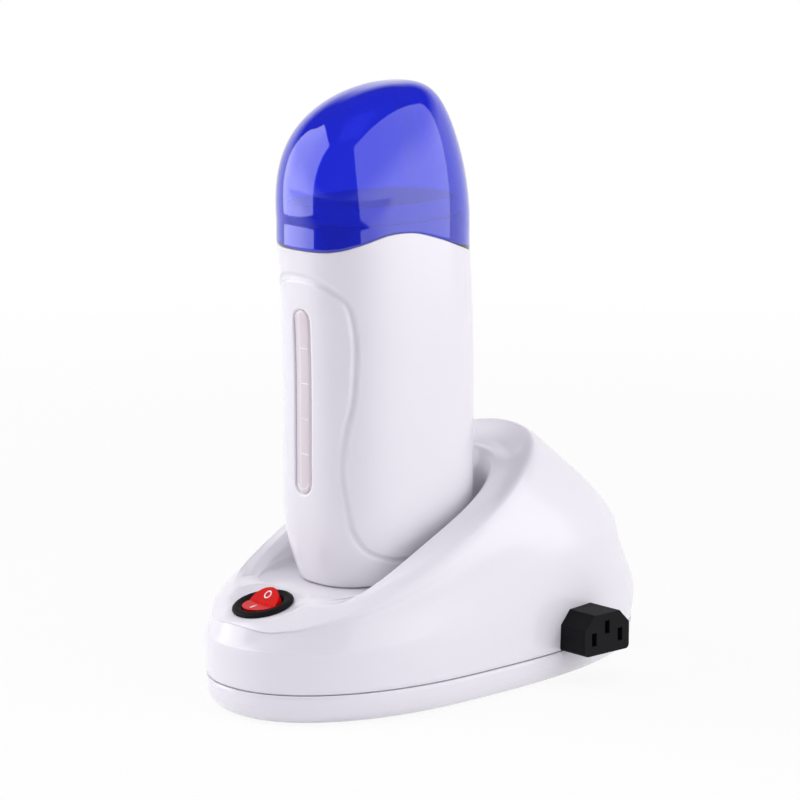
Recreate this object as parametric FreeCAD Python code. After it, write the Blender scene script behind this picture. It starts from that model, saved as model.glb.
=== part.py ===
import FreeCAD, Part
import math
import os
from collections import namedtuple
from FreeCAD import Vector

# Roll-on wax heater: a charging base with a docked hand-held heater under a push-on cap.
# Millimetres. +Z up, -Y towards the nose that carries the switch, +X towards the mains outlet.
# The origin lies on the surface that the base stands on, in the base's plane of symmetry.

# ---------------------------------------------------------------- base: driving dimensions
base_half_width = 49.0
base_nose_y = -94.0
base_tail_y = 106.0
base_widest_y = -14.0
base_wall = 2.6
seam_z = 12.5
seam_reveal = 0.3           # shadow line between the bottom cover and the housing
bulge_z = 27.0
wall_tuck = 0.5             # how far the wall draws in from its widest height to the seam
nose_crest_z = 36.5
tail_crest_z = 93.5
crest_start_y = -90.0
crest_top_y = 42.0
crest_tail_y = 50.0
crest_half_width = 44.5
corner_z = 59.5             # top of the near-vertical tail wall
corner_y = 89.5
shoulder_drop = 4.0         # height of the soft rounding below the crest

well_half_width = 35.0
well_front_y = -63.5
well_back_y = 38.5
well_middle_y = -15.0
rim_front_z = 46.0
rim_back_z = 85.5
rim_lip = 1.4               # rounding of the rim's inner edge
dock_floor_z = 45.0
dock_half_width = 31.0
dock_front_y = -61.0
dock_back_y = 25.5
dock_floor_thickness = 3.0

# ---------------------------------------------------------------- base: bottom cover
cover_corner = 8.0          # inset of the rounded bottom edge
cover_floor_top = 3.2
cover_wall = 4.0
cover_lip_height = 2.8
cover_lip_gap = 0.15
foot_recess = 0.8
rest_rim_width = 3.6
foot_radius = 6.0
foot_thickness = 1.8
foot_places = [(17.0, -58.0), (22.0, 50.0)]
base_screw_places = [(30.0, -36.0), (19.0, 70.0)]
screw_thread_radius = 1.45
screw_head_radius = 3.1
screw_head_height = 2.0
screw_clearance = 0.25
base_screw_length = 20.0
boss_radius = 4.0
base_boss_foot_z = 10.2
base_boss_top_z = 30.0
rib_thickness = 1.8

# ---------------------------------------------------------------- switch
switch_y = -76.6
bezel_radius = 12.5
bezel_height = 2.2
bezel_chamfer = 0.8
barrel_radius = 10.9
barrel_depth = 15.0
switch_pocket_depth = 9.0
switch_hole_gap = 0.1
rocker_radius = 8.4
rocker_gap = 0.2
rocker_swing_gap = 0.85     # extra room along the rocking direction
rocker_rise = 4.2           # height of the rocker's ends above the bezel's underside
rocker_skirt = 4.2
rocker_tilt = 12.0          # degrees each way from level
pivot_depth = 1.0
pivot_radius = 1.2
pivot_length = 1.1
pivot_gap = 0.05
terminal_size = (6.3, 0.8, 9.0)
terminal_spacing = 7.0
lamp_radius = 1.4
lamp_length = 7.0

# ---------------------------------------------------------------- mains outlet and inlet
connector_y = 47.0
outlet_z = 20.6
connector_width = 24.0
connector_height = 16.0
connector_chamfer = 5.3
outlet_rounding = 1.8       # of the outlet's lower corners
outlet_face_x = 60.3
outlet_rear_x = 33.0
outlet_flange = 2.0
outlet_gap = 0.15
sleeve_wall = 2.0
pin_spacing = 14.0
earth_rise = 4.0
slot_width = 2.6
slot_height = 5.2
slot_depth = 3.0
contact_chamber = (4.0, 5.8)
contact_strip = 0.5
contact_length = 14.0
contact_tail = 6.0
inlet_face_x = -50.0
inlet_z = 25.2
inlet_depth = 16.0
inlet_wall = 2.0
inlet_gap = 0.15
inlet_cavity_gap = 0.4      # free space round a plug
pin_thickness = 2.0
pin_height = 4.0
pin_length = 15.0
pin_tail = 6.0

# ---------------------------------------------------------------- dock connector
dock_y = -18.5
tower_size = (20.0, 10.0)
tower_height = 8.0
tower_gap = 0.3
tower_flange = 3.0
tower_flange_thickness = 2.0
dock_pin_radius = 1.2
dock_pin_spacing = 10.0
dock_pin_reach = 5.0
dock_pin_tail = 6.0

# ---------------------------------------------------------------- hand-held heater
handset_y = -17.9
handset_bottom_z = dock_floor_z + 0.3
handset_half_width = 27.3
handset_half_depth = 38.6
side_arc_radius = 99.0      # the outline's flat sides, ends and corners are tangent arcs
end_arc_radius = 36.5
corner_arc_radius = 21.5
handset_full_z = 76.0       # height above which the bottom rounding has ended
bottom_inset = 6.5
lean_start_z = 120.0        # from here up the handset bends forwards
lean_end_z = 176.0
handset_lean = 2.6
handset_top_z = 186.0
handset_wall = 2.4
groove_width = 2.4
groove_depth = 0.9
deck_z = 165.4
deck_thickness = 2.3
spigot_top_z = 184.5
spigot_wall = 2.0

window_width = 9.4
window_low_z = 81.0
window_high_z = 152.5
window_recess = 0.6
window_gap = 0.1
window_flange = 2.0
window_flange_thickness = 1.2

# ---------------------------------------------------------------- cartridge chamber and heating
chamber_inner = (30.0, 54.0)
chamber_wall = 1.5
chamber_corner = 8.0
chamber_y = -20.0
chamber_floor_z = 74.0
chamber_flange = 1.5
chamber_gap = 0.2
chamber_slot = 8.0
chamber_slot_low_z = 84.0
chamber_slot_high_z = 150.0
collar_top_z = 191.0
collar_wall = 2.0
collar_gap = 0.4
collar_base = 3.0
heater_size = (3.0, 34.0, 60.0)
heater_low_z = 90.0
clip_sheet = 0.8
thermostat_radius = 8.0
thermostat_depth = 6.0
thermostat_z = 100.0
fuse_radius = 2.0
fuse_length = 12.0
fuse_z = 128.0

# ---------------------------------------------------------------- handset socket and screws
socket_wall = 2.5
socket_top_z = 63.0
socket_pin_gap = 0.15
socket_tube_wall = 0.6
socket_tube_length = 6.0
socket_tail = 5.0
handset_screw_x = 15.0
handset_screw_y = -6.0
handset_screw_length = 16.0
handset_post_radius = 3.6
handset_boss_top_z = 71.0
head_recess = 1.5

# ---------------------------------------------------------------- cap
cap_y = handset_y - handset_lean
cap_half_width = 27.5
cap_half_depth = 38.8
cap_wall = 2.2
cap_gap = 0.35              # between the cap and the spigot that it fits over
cap_edge_gap = 0.25         # between the cap's edge and the shoulder below it
cap_skirt_z = 160.0
cap_dome_z = collar_top_z - 7.0     # height at which the straight skirt ends
cap_top_z = collar_top_z + 44.2
cap_dome_power = 2.34
cap_lean_forward = 1.2      # the dome first bulges forwards
cap_lean_back = 10.6        # and then falls back towards its crown
cap_crown = 0.99            # share of the dome's height at which the flat crown is

# Edge where the cap meets the handset, seen from the side as (y, z).
cap_edge = [(-72.0, 175.4), (-56.5, 175.3), (-46.5, 178.2), (-36.0, 181.1), (-25.5, 181.2),
            (-11.5, 177.7), (2.0, 173.1), (14.5, 169.0), (32.0, 165.0)]
# Edge of the handset's front cover, seen from the side as (y, z).
cover_edge = [(-66.0, 167.4), (-58.2, 166.2), (-54.0, 161.9), (-50.0, 156.6), (-47.6, 147.0),
              (-46.9, 132.0), (-47.6, 119.0), (-49.7, 105.4), (-50.4, 93.0), (-49.5, 80.0),
              (-46.9, 67.2), (-42.2, 61.2), (-33.5, 57.4), (-12.0, 56.2), (32.0, 56.0)]

RING_POINTS = 16            # spline points along each half of an oval ring
SAMPLES = 240
FAR = 60.0                  # half length of a cutter that passes right through

Oval = namedtuple("Oval", "half front back middle nose_power tail_power")
Outline = namedtuple("Outline", "half depth y")     # drawn with tangent arcs


# ================================================================ shared shapes
def ease(value, start, end, low, high):
    """A smooth step from low at start to high at end."""
    share = min(max((value - start) / (end - start), 0.0), 1.0)
    return low + (high - low) * share * share * (3.0 - 2.0 * share)


def bend(value, start, low, rise_in, end, high, rise_out):
    """A cubic from low to high that leaves and arrives with the given slopes."""
    length = end - start
    s = min(max((value - start) / length, 0.0), 1.0)
    flat = low + (high - low) * s * s * (3.0 - 2.0 * s)
    return flat + length * (rise_in * s * (1.0 - s) ** 2 - rise_out * s * s * (1.0 - s))


def oval_point(oval, angle):
    """Point of the oval at an angle measured from the nose, on the +X side."""
    sine, cosine = math.sin(angle), math.cos(angle)
    power = oval.nose_power if cosine > 0 else oval.tail_power
    reach = oval.middle - oval.front if cosine > 0 else oval.back - oval.middle
    along = math.copysign(abs(cosine) ** (2.0 / power), cosine)
    return oval.half * abs(sine) ** (2.0 / power), oval.middle - along * reach


def oval_points(oval):
    """Points of the oval, evenly spaced along its length, round from the nose."""
    fine = [oval_point(oval, math.pi * i / SAMPLES) for i in range(SAMPLES + 1)]
    run = [0.0]
    for one, two in zip(fine, fine[1:]):
        run.append(run[-1] + math.dist(one, two))
    right, i = [], 0
    for step in range(RING_POINTS + 1):
        goal = run[-1] * step / RING_POINTS
        while i < SAMPLES - 1 and run[i + 1] < goal:
            i += 1
        share = (goal - run[i]) / (run[i + 1] - run[i])
        right.append(tuple(a + (b - a) * share for a, b in zip(fine[i], fine[i + 1])))
    return right + [(-x, y) for x, y in right[-2:0:-1]]


def ring(oval, height):
    """Closed smooth wire over the oval; height is a number or a function of y."""
    lift = height if callable(height) else lambda y: height
    points = [Vector(x, y, lift(y)) for x, y in oval_points(oval)]
    curve = Part.BSplineCurve()
    places = [i / len(points) for i in range(len(points) + 1)]
    curve.interpolate(Points=points, PeriodicFlag=True, Parameters=places)
    return Part.Wire([curve.toShape()])


def stack(rings):
    """Solid skinned through a stack of rings, flat at both ends."""
    bands = [Part.makeRuledSurface(one.Edges[0], two.Edges[0], 1) for one, two in zip(rings, rings[1:])]
    return sewn_solid([Part.Face(rings[0]), Part.Face(rings[-1])] + bands)


def grow(oval, offset):
    """The oval with its outline moved outwards by offset."""
    return oval._replace(half=oval.half + offset, front=oval.front - offset,
                         back=oval.back + offset)


def column(oval, low, high):
    """Straight solid over an oval."""
    return stack([ring(oval, low), ring(oval, high)])


def outline_arcs(outline):
    """The outline's eight tangent arcs in order, each as (centre x, centre y, radius, start, end)."""
    half, depth, y0 = outline
    side, end = half - side_arc_radius, depth - end_arc_radius
    to_side, to_end = side_arc_radius - corner_arc_radius, end_arc_radius - corner_arc_radius
    gap = math.hypot(side, end)
    along = (to_side ** 2 - to_end ** 2 + gap ** 2) / (2 * gap)
    across = math.sqrt(to_side ** 2 - along ** 2)
    x = side + (-side * along - end * across) / gap
    y = (end * along - side * across) / gap
    turn, lift, half_turn = math.atan2(y, x - side), math.atan2(y - end, x), math.pi
    front_half = [(side, 0, side_arc_radius, -turn, turn), (x, y, corner_arc_radius, turn, lift),
                  (0, end, end_arc_radius, lift, half_turn - lift),
                  (-x, y, corner_arc_radius, half_turn - lift, half_turn - turn)]
    arcs = front_half + [(-cx, -cy, r, a + half_turn, b + half_turn) for cx, cy, r, a, b in front_half]
    return [(cx, cy + y0, r, a, b) for cx, cy, r, a, b in arcs]


def arc_edges(outline, z, inset=0.0, scale=1.0, shift=0.0):
    """The outline's arcs as edges at a height, scaled about its centre and moved along y."""
    y0 = outline.y
    return [Part.makeCircle(scale * (r - inset), Vector(scale * cx, y0 + scale * (cy - y0) + shift, z),
                            Vector(0, 0, 1), math.degrees(a), math.degrees(b))
            for cx, cy, r, a, b in outline_arcs(outline)]


def sewn_solid(faces):
    """Solid closed by the faces."""
    skin = Part.makeCompound(faces)
    skin.sewShape()
    solid = Part.makeSolid(skin)
    if solid.Volume < 0:
        solid.reverse()
    return solid


def cone_faces(outline, low, high):
    """Faces over the outline between two (inset, z, shift) steps with the same shift."""
    faces = []
    for cx, cy, r, a, b in outline_arcs(outline):
        centre = Vector(cx, cy + low[2], 0)
        ends = [centre + Vector((r - inset) * math.cos(a), (r - inset) * math.sin(a), z)
                for inset, z, shift in (low, high)]
        side = Part.makeLine(*ends)
        faces.append(side.revolve(centre, Vector(0, 0, 1), math.degrees(b - a)))
    return faces


def tapered(outline, steps):
    """Solid over the outline, drawn in by inset and moved along y by shift at each height z.

    The steps are (inset, z, shift)."""
    rings = [arc_edges(outline, z, inset, shift=shift) for inset, z, shift in steps]
    faces = [Part.Face(Part.Wire(rings[0])), Part.Face(Part.Wire(rings[-1]))]
    for low, high, one, two in zip(steps, steps[1:], rings, rings[1:]):
        if low[2] == high[2]:
            faces += cone_faces(outline, low, high)
        else:
            faces += [Part.makeRuledSurface(a, b, 1) for a, b in zip(one, two)]
    return sewn_solid(faces)


def block(low, high):
    """Box between two corners."""
    return Part.makeBox(high[0] - low[0], high[1] - low[1], high[2] - low[2], Vector(*low))


def rod(radius, start, end):
    """Cylinder between two points."""
    axis = Vector(*end) - Vector(*start)
    return Part.makeCylinder(radius, axis.Length, Vector(*start), axis)


def polygon_prism(points, direction):
    """Straight solid over a closed polygon."""
    wire = Part.makePolygon([Vector(*p) for p in points] + [Vector(*points[0])])
    return Part.Face(wire).extrude(Vector(*direction))


def rounded_block(width, depth, low_z, high_z, corner, y):
    """Upright block with rounded vertical edges, centred on x = 0."""
    box = block((-width / 2, y - depth / 2, low_z), (width / 2, y + depth / 2, high_z))
    upright = [e for e in box.Edges if abs(e.Vertexes[0].Z - e.Vertexes[-1].Z) > 0.5 * (high_z - low_z)]
    return box.makeFillet(corner, upright)


def join(shapes):
    """One shape fused from many, with its flush faces merged."""
    whole = shapes[0].fuse(shapes[1:]) if len(shapes) > 1 else shapes[0]
    return whole.removeSplitter()


def save(name, shape):
    """Write one node."""
    solids = shape.Solids
    node = solids[0] if len(solids) == 1 else Part.makeCompound(solids)
    if not node.isValid():
        raise ValueError(name + " isn't a valid solid")
    node.exportStep("parts/" + name + ".step")
    print(name, "solids", len(solids), "volume", round(node.Volume, 1))


# ================================================================ base housing
SEAM_OVAL = Oval(base_half_width - wall_tuck, base_nose_y + wall_tuck, base_tail_y - wall_tuck,
                 base_widest_y, 2.15, 2.53)
BULGE_OVAL = grow(SEAM_OVAL, wall_tuck)
RIM_OVAL = Oval(well_half_width, well_front_y, well_back_y, well_middle_y, 2.5, 2.5)
DOCK_OVAL = Oval(dock_half_width, dock_front_y, dock_back_y, well_middle_y, 2.5, 2.5)
CREST_OVAL = Oval(crest_half_width, base_nose_y + 6.0, crest_tail_y, base_widest_y, 2.15, 2.05)


def crest_z(y):
    """Height of the outer ridge, rising from the nose to the tail."""
    return bend(y, crest_start_y, nose_crest_z, 0.27, crest_top_y, tail_crest_z, 0.6)


def rim_z(y):
    """Height of the well's edge."""
    return bend(y, well_front_y, rim_front_z, 0.6, well_back_y, rim_back_z, 0.1)


def wall_oval(drop):
    """Outline of the tail corner, drop below it."""
    lean = 0.34 * drop
    return Oval(base_half_width - 1.2 + 0.05 * drop, base_nose_y + 1.8 - 0.1 * drop,
                corner_y + lean, base_widest_y, 2.15, 2.9)


def band_z(y):
    """Height of the dished band between the outer ridge and the well's edge."""
    return 0.5 * (crest_z(y) + rim_z(y)) - 1.0


def band_oval():
    """Outline midway between the ridge and the well's edge."""
    return Oval(*[0.5 * (a + b) for a, b in zip(CREST_OVAL, RIM_OVAL)])


def outer_form():
    """The housing's outer skin, as a solid: wall, ridge, band, and the well down to its floor."""
    def inner_rise(share):
        return lambda y: dock_floor_z + 0.2 + share * max(rim_z(y) - rim_front_z, 0.0)

    return stack([
        ring(SEAM_OVAL, seam_z),
        ring(BULGE_OVAL, bulge_z),
        ring(wall_oval(12.0), lambda y: ease(y, base_nose_y, corner_y, 29.5, corner_z - 12.0)),
        ring(wall_oval(0.0), lambda y: ease(y, base_nose_y, corner_y, 33.3, corner_z)),
        ring(grow(CREST_OVAL, 2.0)._replace(back=crest_tail_y + 5.0),
             lambda y: crest_z(y) - shoulder_drop),
        ring(CREST_OVAL, crest_z),
        ring(band_oval(), band_z),
        ring(RIM_OVAL, rim_z),
        ring(grow(RIM_OVAL, -rim_lip), lambda y: max(rim_z(y) - rim_lip, rim_front_z - 0.4)),
        ring(grow(DOCK_OVAL, 2.0)._replace(front=dock_front_y - 0.8, back=dock_back_y + 6.0), inner_rise(0.5)),
        ring(grow(DOCK_OVAL, 0.6), inner_rise(0.05)),
        ring(DOCK_OVAL, dock_floor_z),
    ])


def inner_form():
    """The hollow inside the housing, under the ridge and round the well."""
    under_floor = dock_floor_z - dock_floor_thickness
    return stack([
        ring(grow(SEAM_OVAL, -base_wall), seam_z - 3.0),
        ring(grow(BULGE_OVAL, -base_wall), bulge_z),
        ring(grow(wall_oval(0.0), -base_wall - 0.6),
             lambda y: ease(y, base_nose_y, corner_y, 30.2, corner_z - 3.5)),
        ring(grow(CREST_OVAL, -3.6), lambda y: crest_z(y) - 4.0),
        ring(grow(RIM_OVAL, 3.6), lambda y: rim_z(y) - 7.0),
        ring(grow(DOCK_OVAL, 3.4), under_floor),
    ])


def on_both_sides(places):
    """Each place and its mirror image in x."""
    return [(side * x, y) for x, y in places for side in (1, -1)]


def housing_bosses(outer):
    """Screw bosses with the ribs that tie them to the wall."""
    parts = []
    rib_low = seam_z + cover_lip_height + 0.4
    for x, y in on_both_sides(base_screw_places):
        reach = math.copysign(FAR, x)
        rib = block((min(x, reach), y - rib_thickness / 2, rib_low),
                    (max(x, reach), y + rib_thickness / 2, base_boss_top_z - 2.0)).common(outer)
        parts.append(rod(boss_radius, (x, y, base_boss_foot_z), (x, y, base_boss_top_z)).fuse(rib))
    return parts


def connector_outline(x, z, spread=0.0):
    """Outline of the three-pin connector in a plane of constant x: two chamfered top corners."""
    half = connector_width / 2 + spread
    low, high = z - connector_height / 2 - spread, z + connector_height / 2 + spread
    cut = connector_chamfer + 0.4 * spread
    return [(x, connector_y - half, low), (x, connector_y + half, low),
            (x, connector_y + half, high - cut), (x, connector_y + half - cut, high),
            (x, connector_y - half + cut, high), (x, connector_y - half, high - cut)]


def connector_prism(start_x, end_x, z, spread=0.0):
    """The connector's outline drawn out along x."""
    return polygon_prism(connector_outline(start_x, z, spread), (end_x - start_x, 0, 0))


def outlet_notch(spread):
    """Space of the outlet in the housing, open down to the seam."""
    half = connector_width / 2 + spread
    return connector_prism(outlet_rear_x - 6, FAR, outlet_z, spread).fuse(
        block((outlet_rear_x - 6, connector_y - half, seam_z - 4), (FAR, connector_y + half, outlet_z)))


def switch_seat_height():
    """Height of the plateau at the switch's centre."""
    return 0.5 * (plateau_z(switch_y - bezel_radius) + plateau_z(switch_y + bezel_radius))


def plateau_z(y):
    """Height of the plateau on the centre line, from the nose's ridge to the well's edge."""
    front = (CREST_OVAL.front, crest_z(CREST_OVAL.front))
    middle = (band_oval().front, band_z(band_oval().front))
    back = (RIM_OVAL.front, rim_z(RIM_OVAL.front))
    one, two = (front, middle) if y < middle[0] else (middle, back)
    return one[1] + (two[1] - one[1]) * (y - one[0]) / (two[0] - one[0])


def switch_frame(shape):
    """Move a shape from the switch's own frame to its seat on the plateau.

    In that frame x is the rocking axis, y points up the slope and z leaves the seat."""
    slope = math.degrees(math.atan2(plateau_z(switch_y + bezel_radius) - plateau_z(switch_y - bezel_radius),
                                    2 * bezel_radius))
    shape = shape.copy()
    shape.rotate(Vector(0, 0, 0), Vector(1, 0, 0), slope)
    shape.translate(Vector(0, switch_y, switch_seat_height()))
    return shape


def base_housing():
    outer = outer_form()
    shell = outer.cut(inner_form())
    inlet_back = inlet_face_x + inlet_depth + inlet_wall
    inlet_spread = inlet_cavity_gap + inlet_wall
    sleeves = [connector_prism(outlet_rear_x, FAR, outlet_z, sleeve_wall),
               connector_prism(inlet_back - inlet_wall, -FAR, inlet_z, inlet_spread + sleeve_wall)]
    above_seam = block((-FAR, base_nose_y, seam_z), (FAR, base_tail_y, tail_crest_z))
    sleeves = [sleeve.common(above_seam).common(outer) for sleeve in sleeves]
    seat = switch_frame(rod(bezel_radius + 1.5, (0, 0, -3.2), (0, 0, 0.0)))
    shell = join([shell, seat] + sleeves + housing_bosses(outer))
    tower_low = dock_floor_z - dock_floor_thickness - 1
    cutters = [
        switch_frame(rod(bezel_radius + 0.4, (0, 0, 0), (0, 0, 12))),
        switch_frame(rod(barrel_radius + switch_hole_gap, (0, 0, -12), (0, 0, 1))),
        outlet_notch(outlet_gap),
        connector_prism(inlet_back + 4, -FAR, inlet_z, inlet_spread + inlet_gap),
        tower_block(tower_low, dock_floor_z + 2, tower_gap),
    ]
    for x, y in on_both_sides(base_screw_places):
        top = cover_screw_seat_z() + base_screw_length + 1.0
        cutters.append(rod(screw_thread_radius, (x, y, base_boss_foot_z - 1), (x, y, top)))
    return shell.cut(cutters)


# ================================================================ bottom cover, feet and screws
def cover_screw_seat_z():
    """Height of the step that each screw head pulls against."""
    return cover_floor_top + 2.0


def base_cover():
    rounding = [(1.0, 0.0), (0.62, 0.9), (0.25, 3.4), (0.05, 7.0), (0.0, seam_z - seam_reveal)]
    body = stack([ring(grow(SEAM_OVAL, -cover_corner * share), z) for share, z in rounding])
    lip_top = seam_z + cover_lip_height
    lip = column(grow(SEAM_OVAL, -base_wall - cover_lip_gap), seam_z - 3.0, lip_top)
    hollow = stack([ring(grow(SEAM_OVAL, -cover_corner - 2.0), cover_floor_top),
                    ring(grow(SEAM_OVAL, -cover_wall - 0.6), cover_floor_top + 5.0),
                    ring(grow(SEAM_OVAL, -cover_wall), lip_top + 1.0)])
    shell = join([body, lip]).cut(hollow)
    posts = [rod(boss_radius + 1.0, (x, y, foot_recess + 0.4), (x, y, base_boss_foot_z))
             for x, y in on_both_sides(base_screw_places)]
    shell = join([shell] + posts)
    cutters = [column(grow(SEAM_OVAL, -cover_corner - rest_rim_width), -1.0, foot_recess)]
    notch = connector_width / 2 + inlet_cavity_gap + inlet_wall + sleeve_wall + 1.0
    cutters.append(block((-FAR, connector_y - notch, seam_z - seam_reveal), (FAR, connector_y + notch, FAR)))
    for x, y in on_both_sides(foot_places):
        cutters.append(rod(foot_radius + 0.1, (x, y, 0), (x, y, foot_thickness)))
    for x, y in on_both_sides(base_screw_places):
        cutters.append(rod(screw_head_radius + screw_clearance, (x, y, 0), (x, y, cover_screw_seat_z())))
        cutters.append(rod(screw_thread_radius + screw_clearance, (x, y, 0), (x, y, base_boss_foot_z + 1)))
    return shell.cut(cutters)


def rubber_feet():
    return Part.makeCompound([rod(foot_radius, (x, y, 0), (x, y, foot_thickness))
                              for x, y in on_both_sides(foot_places)])


def screw(x, y, seat_z, length):
    """Pan-head screw driven upwards, its head below seat_z, with a cross recess."""
    head = rod(screw_head_radius, (x, y, seat_z - screw_head_height), (x, y, seat_z))
    slot = 0.45
    reach = 0.6 * screw_head_radius
    low = seat_z - screw_head_height - 0.1
    cross = [block((x - reach, y - slot, low), (x + reach, y + slot, low + 1.1)),
             block((x - slot, y - reach, low), (x + slot, y + reach, low + 1.1))]
    shank = rod(screw_thread_radius, (x, y, seat_z), (x, y, seat_z + length))
    return join([head, shank]).cut(cross)


def base_screws():
    return Part.makeCompound([screw(x, y, cover_screw_seat_z(), base_screw_length)
                              for x, y in on_both_sides(base_screw_places)])


# ================================================================ rocker switch
def rocker_opening(low, high):
    """Opening for the rocker: round, drawn out along the rocking direction."""
    radius = rocker_radius + rocker_gap
    middle = rod(radius, (0, 0, low), (0, 0, high))
    ends = [rod(radius, (0, side * rocker_swing_gap, low), (0, side * rocker_swing_gap, high))
            for side in (1, -1)]
    return join([middle] + ends)


def switch_housing():
    rim = rod(bezel_radius, (0, 0, 0), (0, 0, bezel_height))
    rim = rim.makeChamfer(bezel_chamfer, [e for e in rim.Edges if e.BoundBox.ZMin > bezel_height - 0.1])
    barrel = rod(barrel_radius, (0, 0, -barrel_depth), (0, 0, 0.1))
    body = join([rim, barrel])
    pocket = rocker_opening(-switch_pocket_depth, bezel_height + 1)
    reach = rocker_radius + pivot_length + 0.2
    bearing = rod(pivot_radius + pivot_gap, (-reach, 0, -pivot_depth), (reach, 0, -pivot_depth))
    return switch_frame(body.cut([pocket, bearing]))


def switch_rocker():
    """Round rocker, pressed at the nose end. Its two top faces meet in a shallow valley."""
    high = rocker_rise + 6.0
    body = rod(rocker_radius, (0, 0, -rocker_skirt), (0, 0, high))
    fall = (rocker_rise - 1.4) / rocker_radius
    valley = [(-FAR, -rocker_radius - 1, 1.4 + fall * (rocker_radius + 1)), (-FAR, 0, 1.4),
              (-FAR, rocker_radius + 1, 1.4 + fall * (rocker_radius + 1)),
              (-FAR, rocker_radius + 1, high + 1), (-FAR, -rocker_radius - 1, high + 1)]
    body = body.cut(polygon_prism(valley, (2 * FAR, 0, 0)))
    hollow = rod(rocker_radius - 1.6, (0, 0, -rocker_skirt - 1), (0, 0, -0.4))
    end = rocker_radius + pivot_length
    stub = rod(pivot_radius, (-end, 0, -pivot_depth), (end, 0, -pivot_depth))
    body = body.cut(hollow).fuse(stub)
    body.rotate(Vector(0, 0, -pivot_depth), Vector(1, 0, 0), rocker_tilt)
    return switch_frame(body)


def switch_lamp():
    low = -switch_pocket_depth + lamp_radius
    return switch_frame(rod(lamp_radius, (-lamp_length / 2, 0, low), (lamp_length / 2, 0, low)))


def switch_terminals():
    width, sheet, drop = terminal_size
    tabs = []
    for place in (-1, 0, 1):
        y = place * terminal_spacing
        tab = block((-width / 2, y - sheet / 2, -barrel_depth - drop), (width / 2, y + sheet / 2, -barrel_depth))
        tab = tab.cut(rod(0.8, (0, y - 1, -barrel_depth - drop + 3), (0, y + 1, -barrel_depth - drop + 3)))
        tabs.append(switch_frame(tab))
    return Part.makeCompound(tabs)


# ================================================================ mains outlet
def pin_places(z):
    """Centre of each pin as (y, z): line, earth, neutral."""
    low = z - 1.6
    return [(connector_y - pin_spacing / 2, low), (connector_y, low + earth_rise),
            (connector_y + pin_spacing / 2, low)]


def outlet_block():
    body = connector_prism(outlet_rear_x, outlet_face_x, outlet_z)
    low_z = outlet_z - connector_height / 2
    edges = [e for e in body.Edges if abs(e.CenterOfMass.z - low_z) < 0.01]
    body = body.makeFillet(outlet_rounding, [e for e in edges if abs(e.tangentAt(e.FirstParameter).x) > 0.9])
    half = connector_width / 2 + sleeve_wall
    flange = block((outlet_rear_x - outlet_flange, connector_y - half, low_z),
                   (outlet_rear_x, connector_y + half, outlet_z + connector_height / 2 + sleeve_wall))
    width, height = contact_chamber
    cutters = []
    for y, z in pin_places(outlet_z):
        cutters.append(block((outlet_face_x - slot_depth - 1, y - slot_width / 2, z - slot_height / 2),
                             (outlet_face_x + 1, y + slot_width / 2, z + slot_height / 2)))
        cutters.append(block((outlet_rear_x - outlet_flange - 1, y - width / 2, z - height / 2),
                             (outlet_face_x - slot_depth, y + width / 2, z + height / 2)))
    return join([body, flange]).cut(cutters)


def outlet_contacts():
    """Folded brass strips, open towards the face, with a solder tail."""
    width, height = contact_chamber
    front = outlet_face_x - slot_depth
    back = front - contact_length
    contacts = []
    for y, z in pin_places(outlet_z):
        strip = block((back, y - width / 2, z - height / 2 + 0.2), (front, y + width / 2, z + height / 2 - 0.2))
        gap = block((back + contact_strip, y - width / 2 + contact_strip, z - height),
                    (front + 1, y + width / 2 - contact_strip, z + height))
        tail = block((outlet_rear_x - outlet_flange - contact_tail, y - contact_strip / 2, z - 2.0),
                     (back + contact_strip, y + contact_strip / 2, z + 2.0))
        contacts.append(join([strip.cut(gap), tail]))
    return Part.makeCompound(contacts)


# ================================================================ mains inlet
def inlet_shell():
    outer = inlet_cavity_gap + inlet_wall
    back = inlet_face_x + inlet_depth + inlet_wall
    body = connector_prism(inlet_face_x, back, inlet_z, outer)
    half = connector_width / 2 + outer + sleeve_wall
    flange = block((back - inlet_wall, connector_y - half, inlet_z - connector_height / 2 - outer),
                   (back, connector_y + half, inlet_z + connector_height / 2 + outer))
    cavity = connector_prism(inlet_face_x - 1, back - inlet_wall, inlet_z, inlet_cavity_gap)
    holes = [block((back - inlet_wall - 1, y - pin_thickness / 2, z - pin_height / 2),
                   (back + 1, y + pin_thickness / 2, z + pin_height / 2)) for y, z in pin_places(inlet_z)]
    return join([body, flange]).cut([cavity] + holes)


def inlet_pins():
    """Flat pins that stand in the inlet, each with a solder tail behind it."""
    floor = inlet_face_x + inlet_depth
    pins = []
    for y, z in pin_places(inlet_z):
        pins.append(block((floor - pin_length, y - pin_thickness / 2, z - pin_height / 2),
                          (floor + inlet_wall + pin_tail, y + pin_thickness / 2, z + pin_height / 2)))
    return Part.makeCompound(pins)


# ================================================================ dock connector
def tower_block(low, high, spread=0.0):
    """Box over the dock connector's outline."""
    half_x, half_y = tower_size[0] / 2 + spread, tower_size[1] / 2 + spread
    return block((-half_x, dock_y - half_y, low), (half_x, dock_y + half_y, high))


def dock_pin_places():
    return [-dock_pin_spacing / 2, dock_pin_spacing / 2]


def dock_connector():
    under_floor = dock_floor_z - dock_floor_thickness
    top = dock_floor_z + tower_height
    body = join([tower_block(under_floor - tower_flange_thickness, top),
                 tower_block(under_floor - tower_flange_thickness, under_floor, tower_flange)])
    return body.cut([rod(dock_pin_radius, (x, dock_y, under_floor - 10), (x, dock_y, top + 1))
                     for x in dock_pin_places()])


def dock_pins():
    low = dock_floor_z - dock_floor_thickness - tower_flange_thickness - dock_pin_tail
    high = dock_floor_z + tower_height + dock_pin_reach
    return Part.makeCompound([rod(dock_pin_radius, (x, dock_y, low), (x, dock_y, high))
                              for x in dock_pin_places()])


# ================================================================ handset shells
HANDSET = Outline(handset_half_width, handset_half_depth, handset_y)


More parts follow.
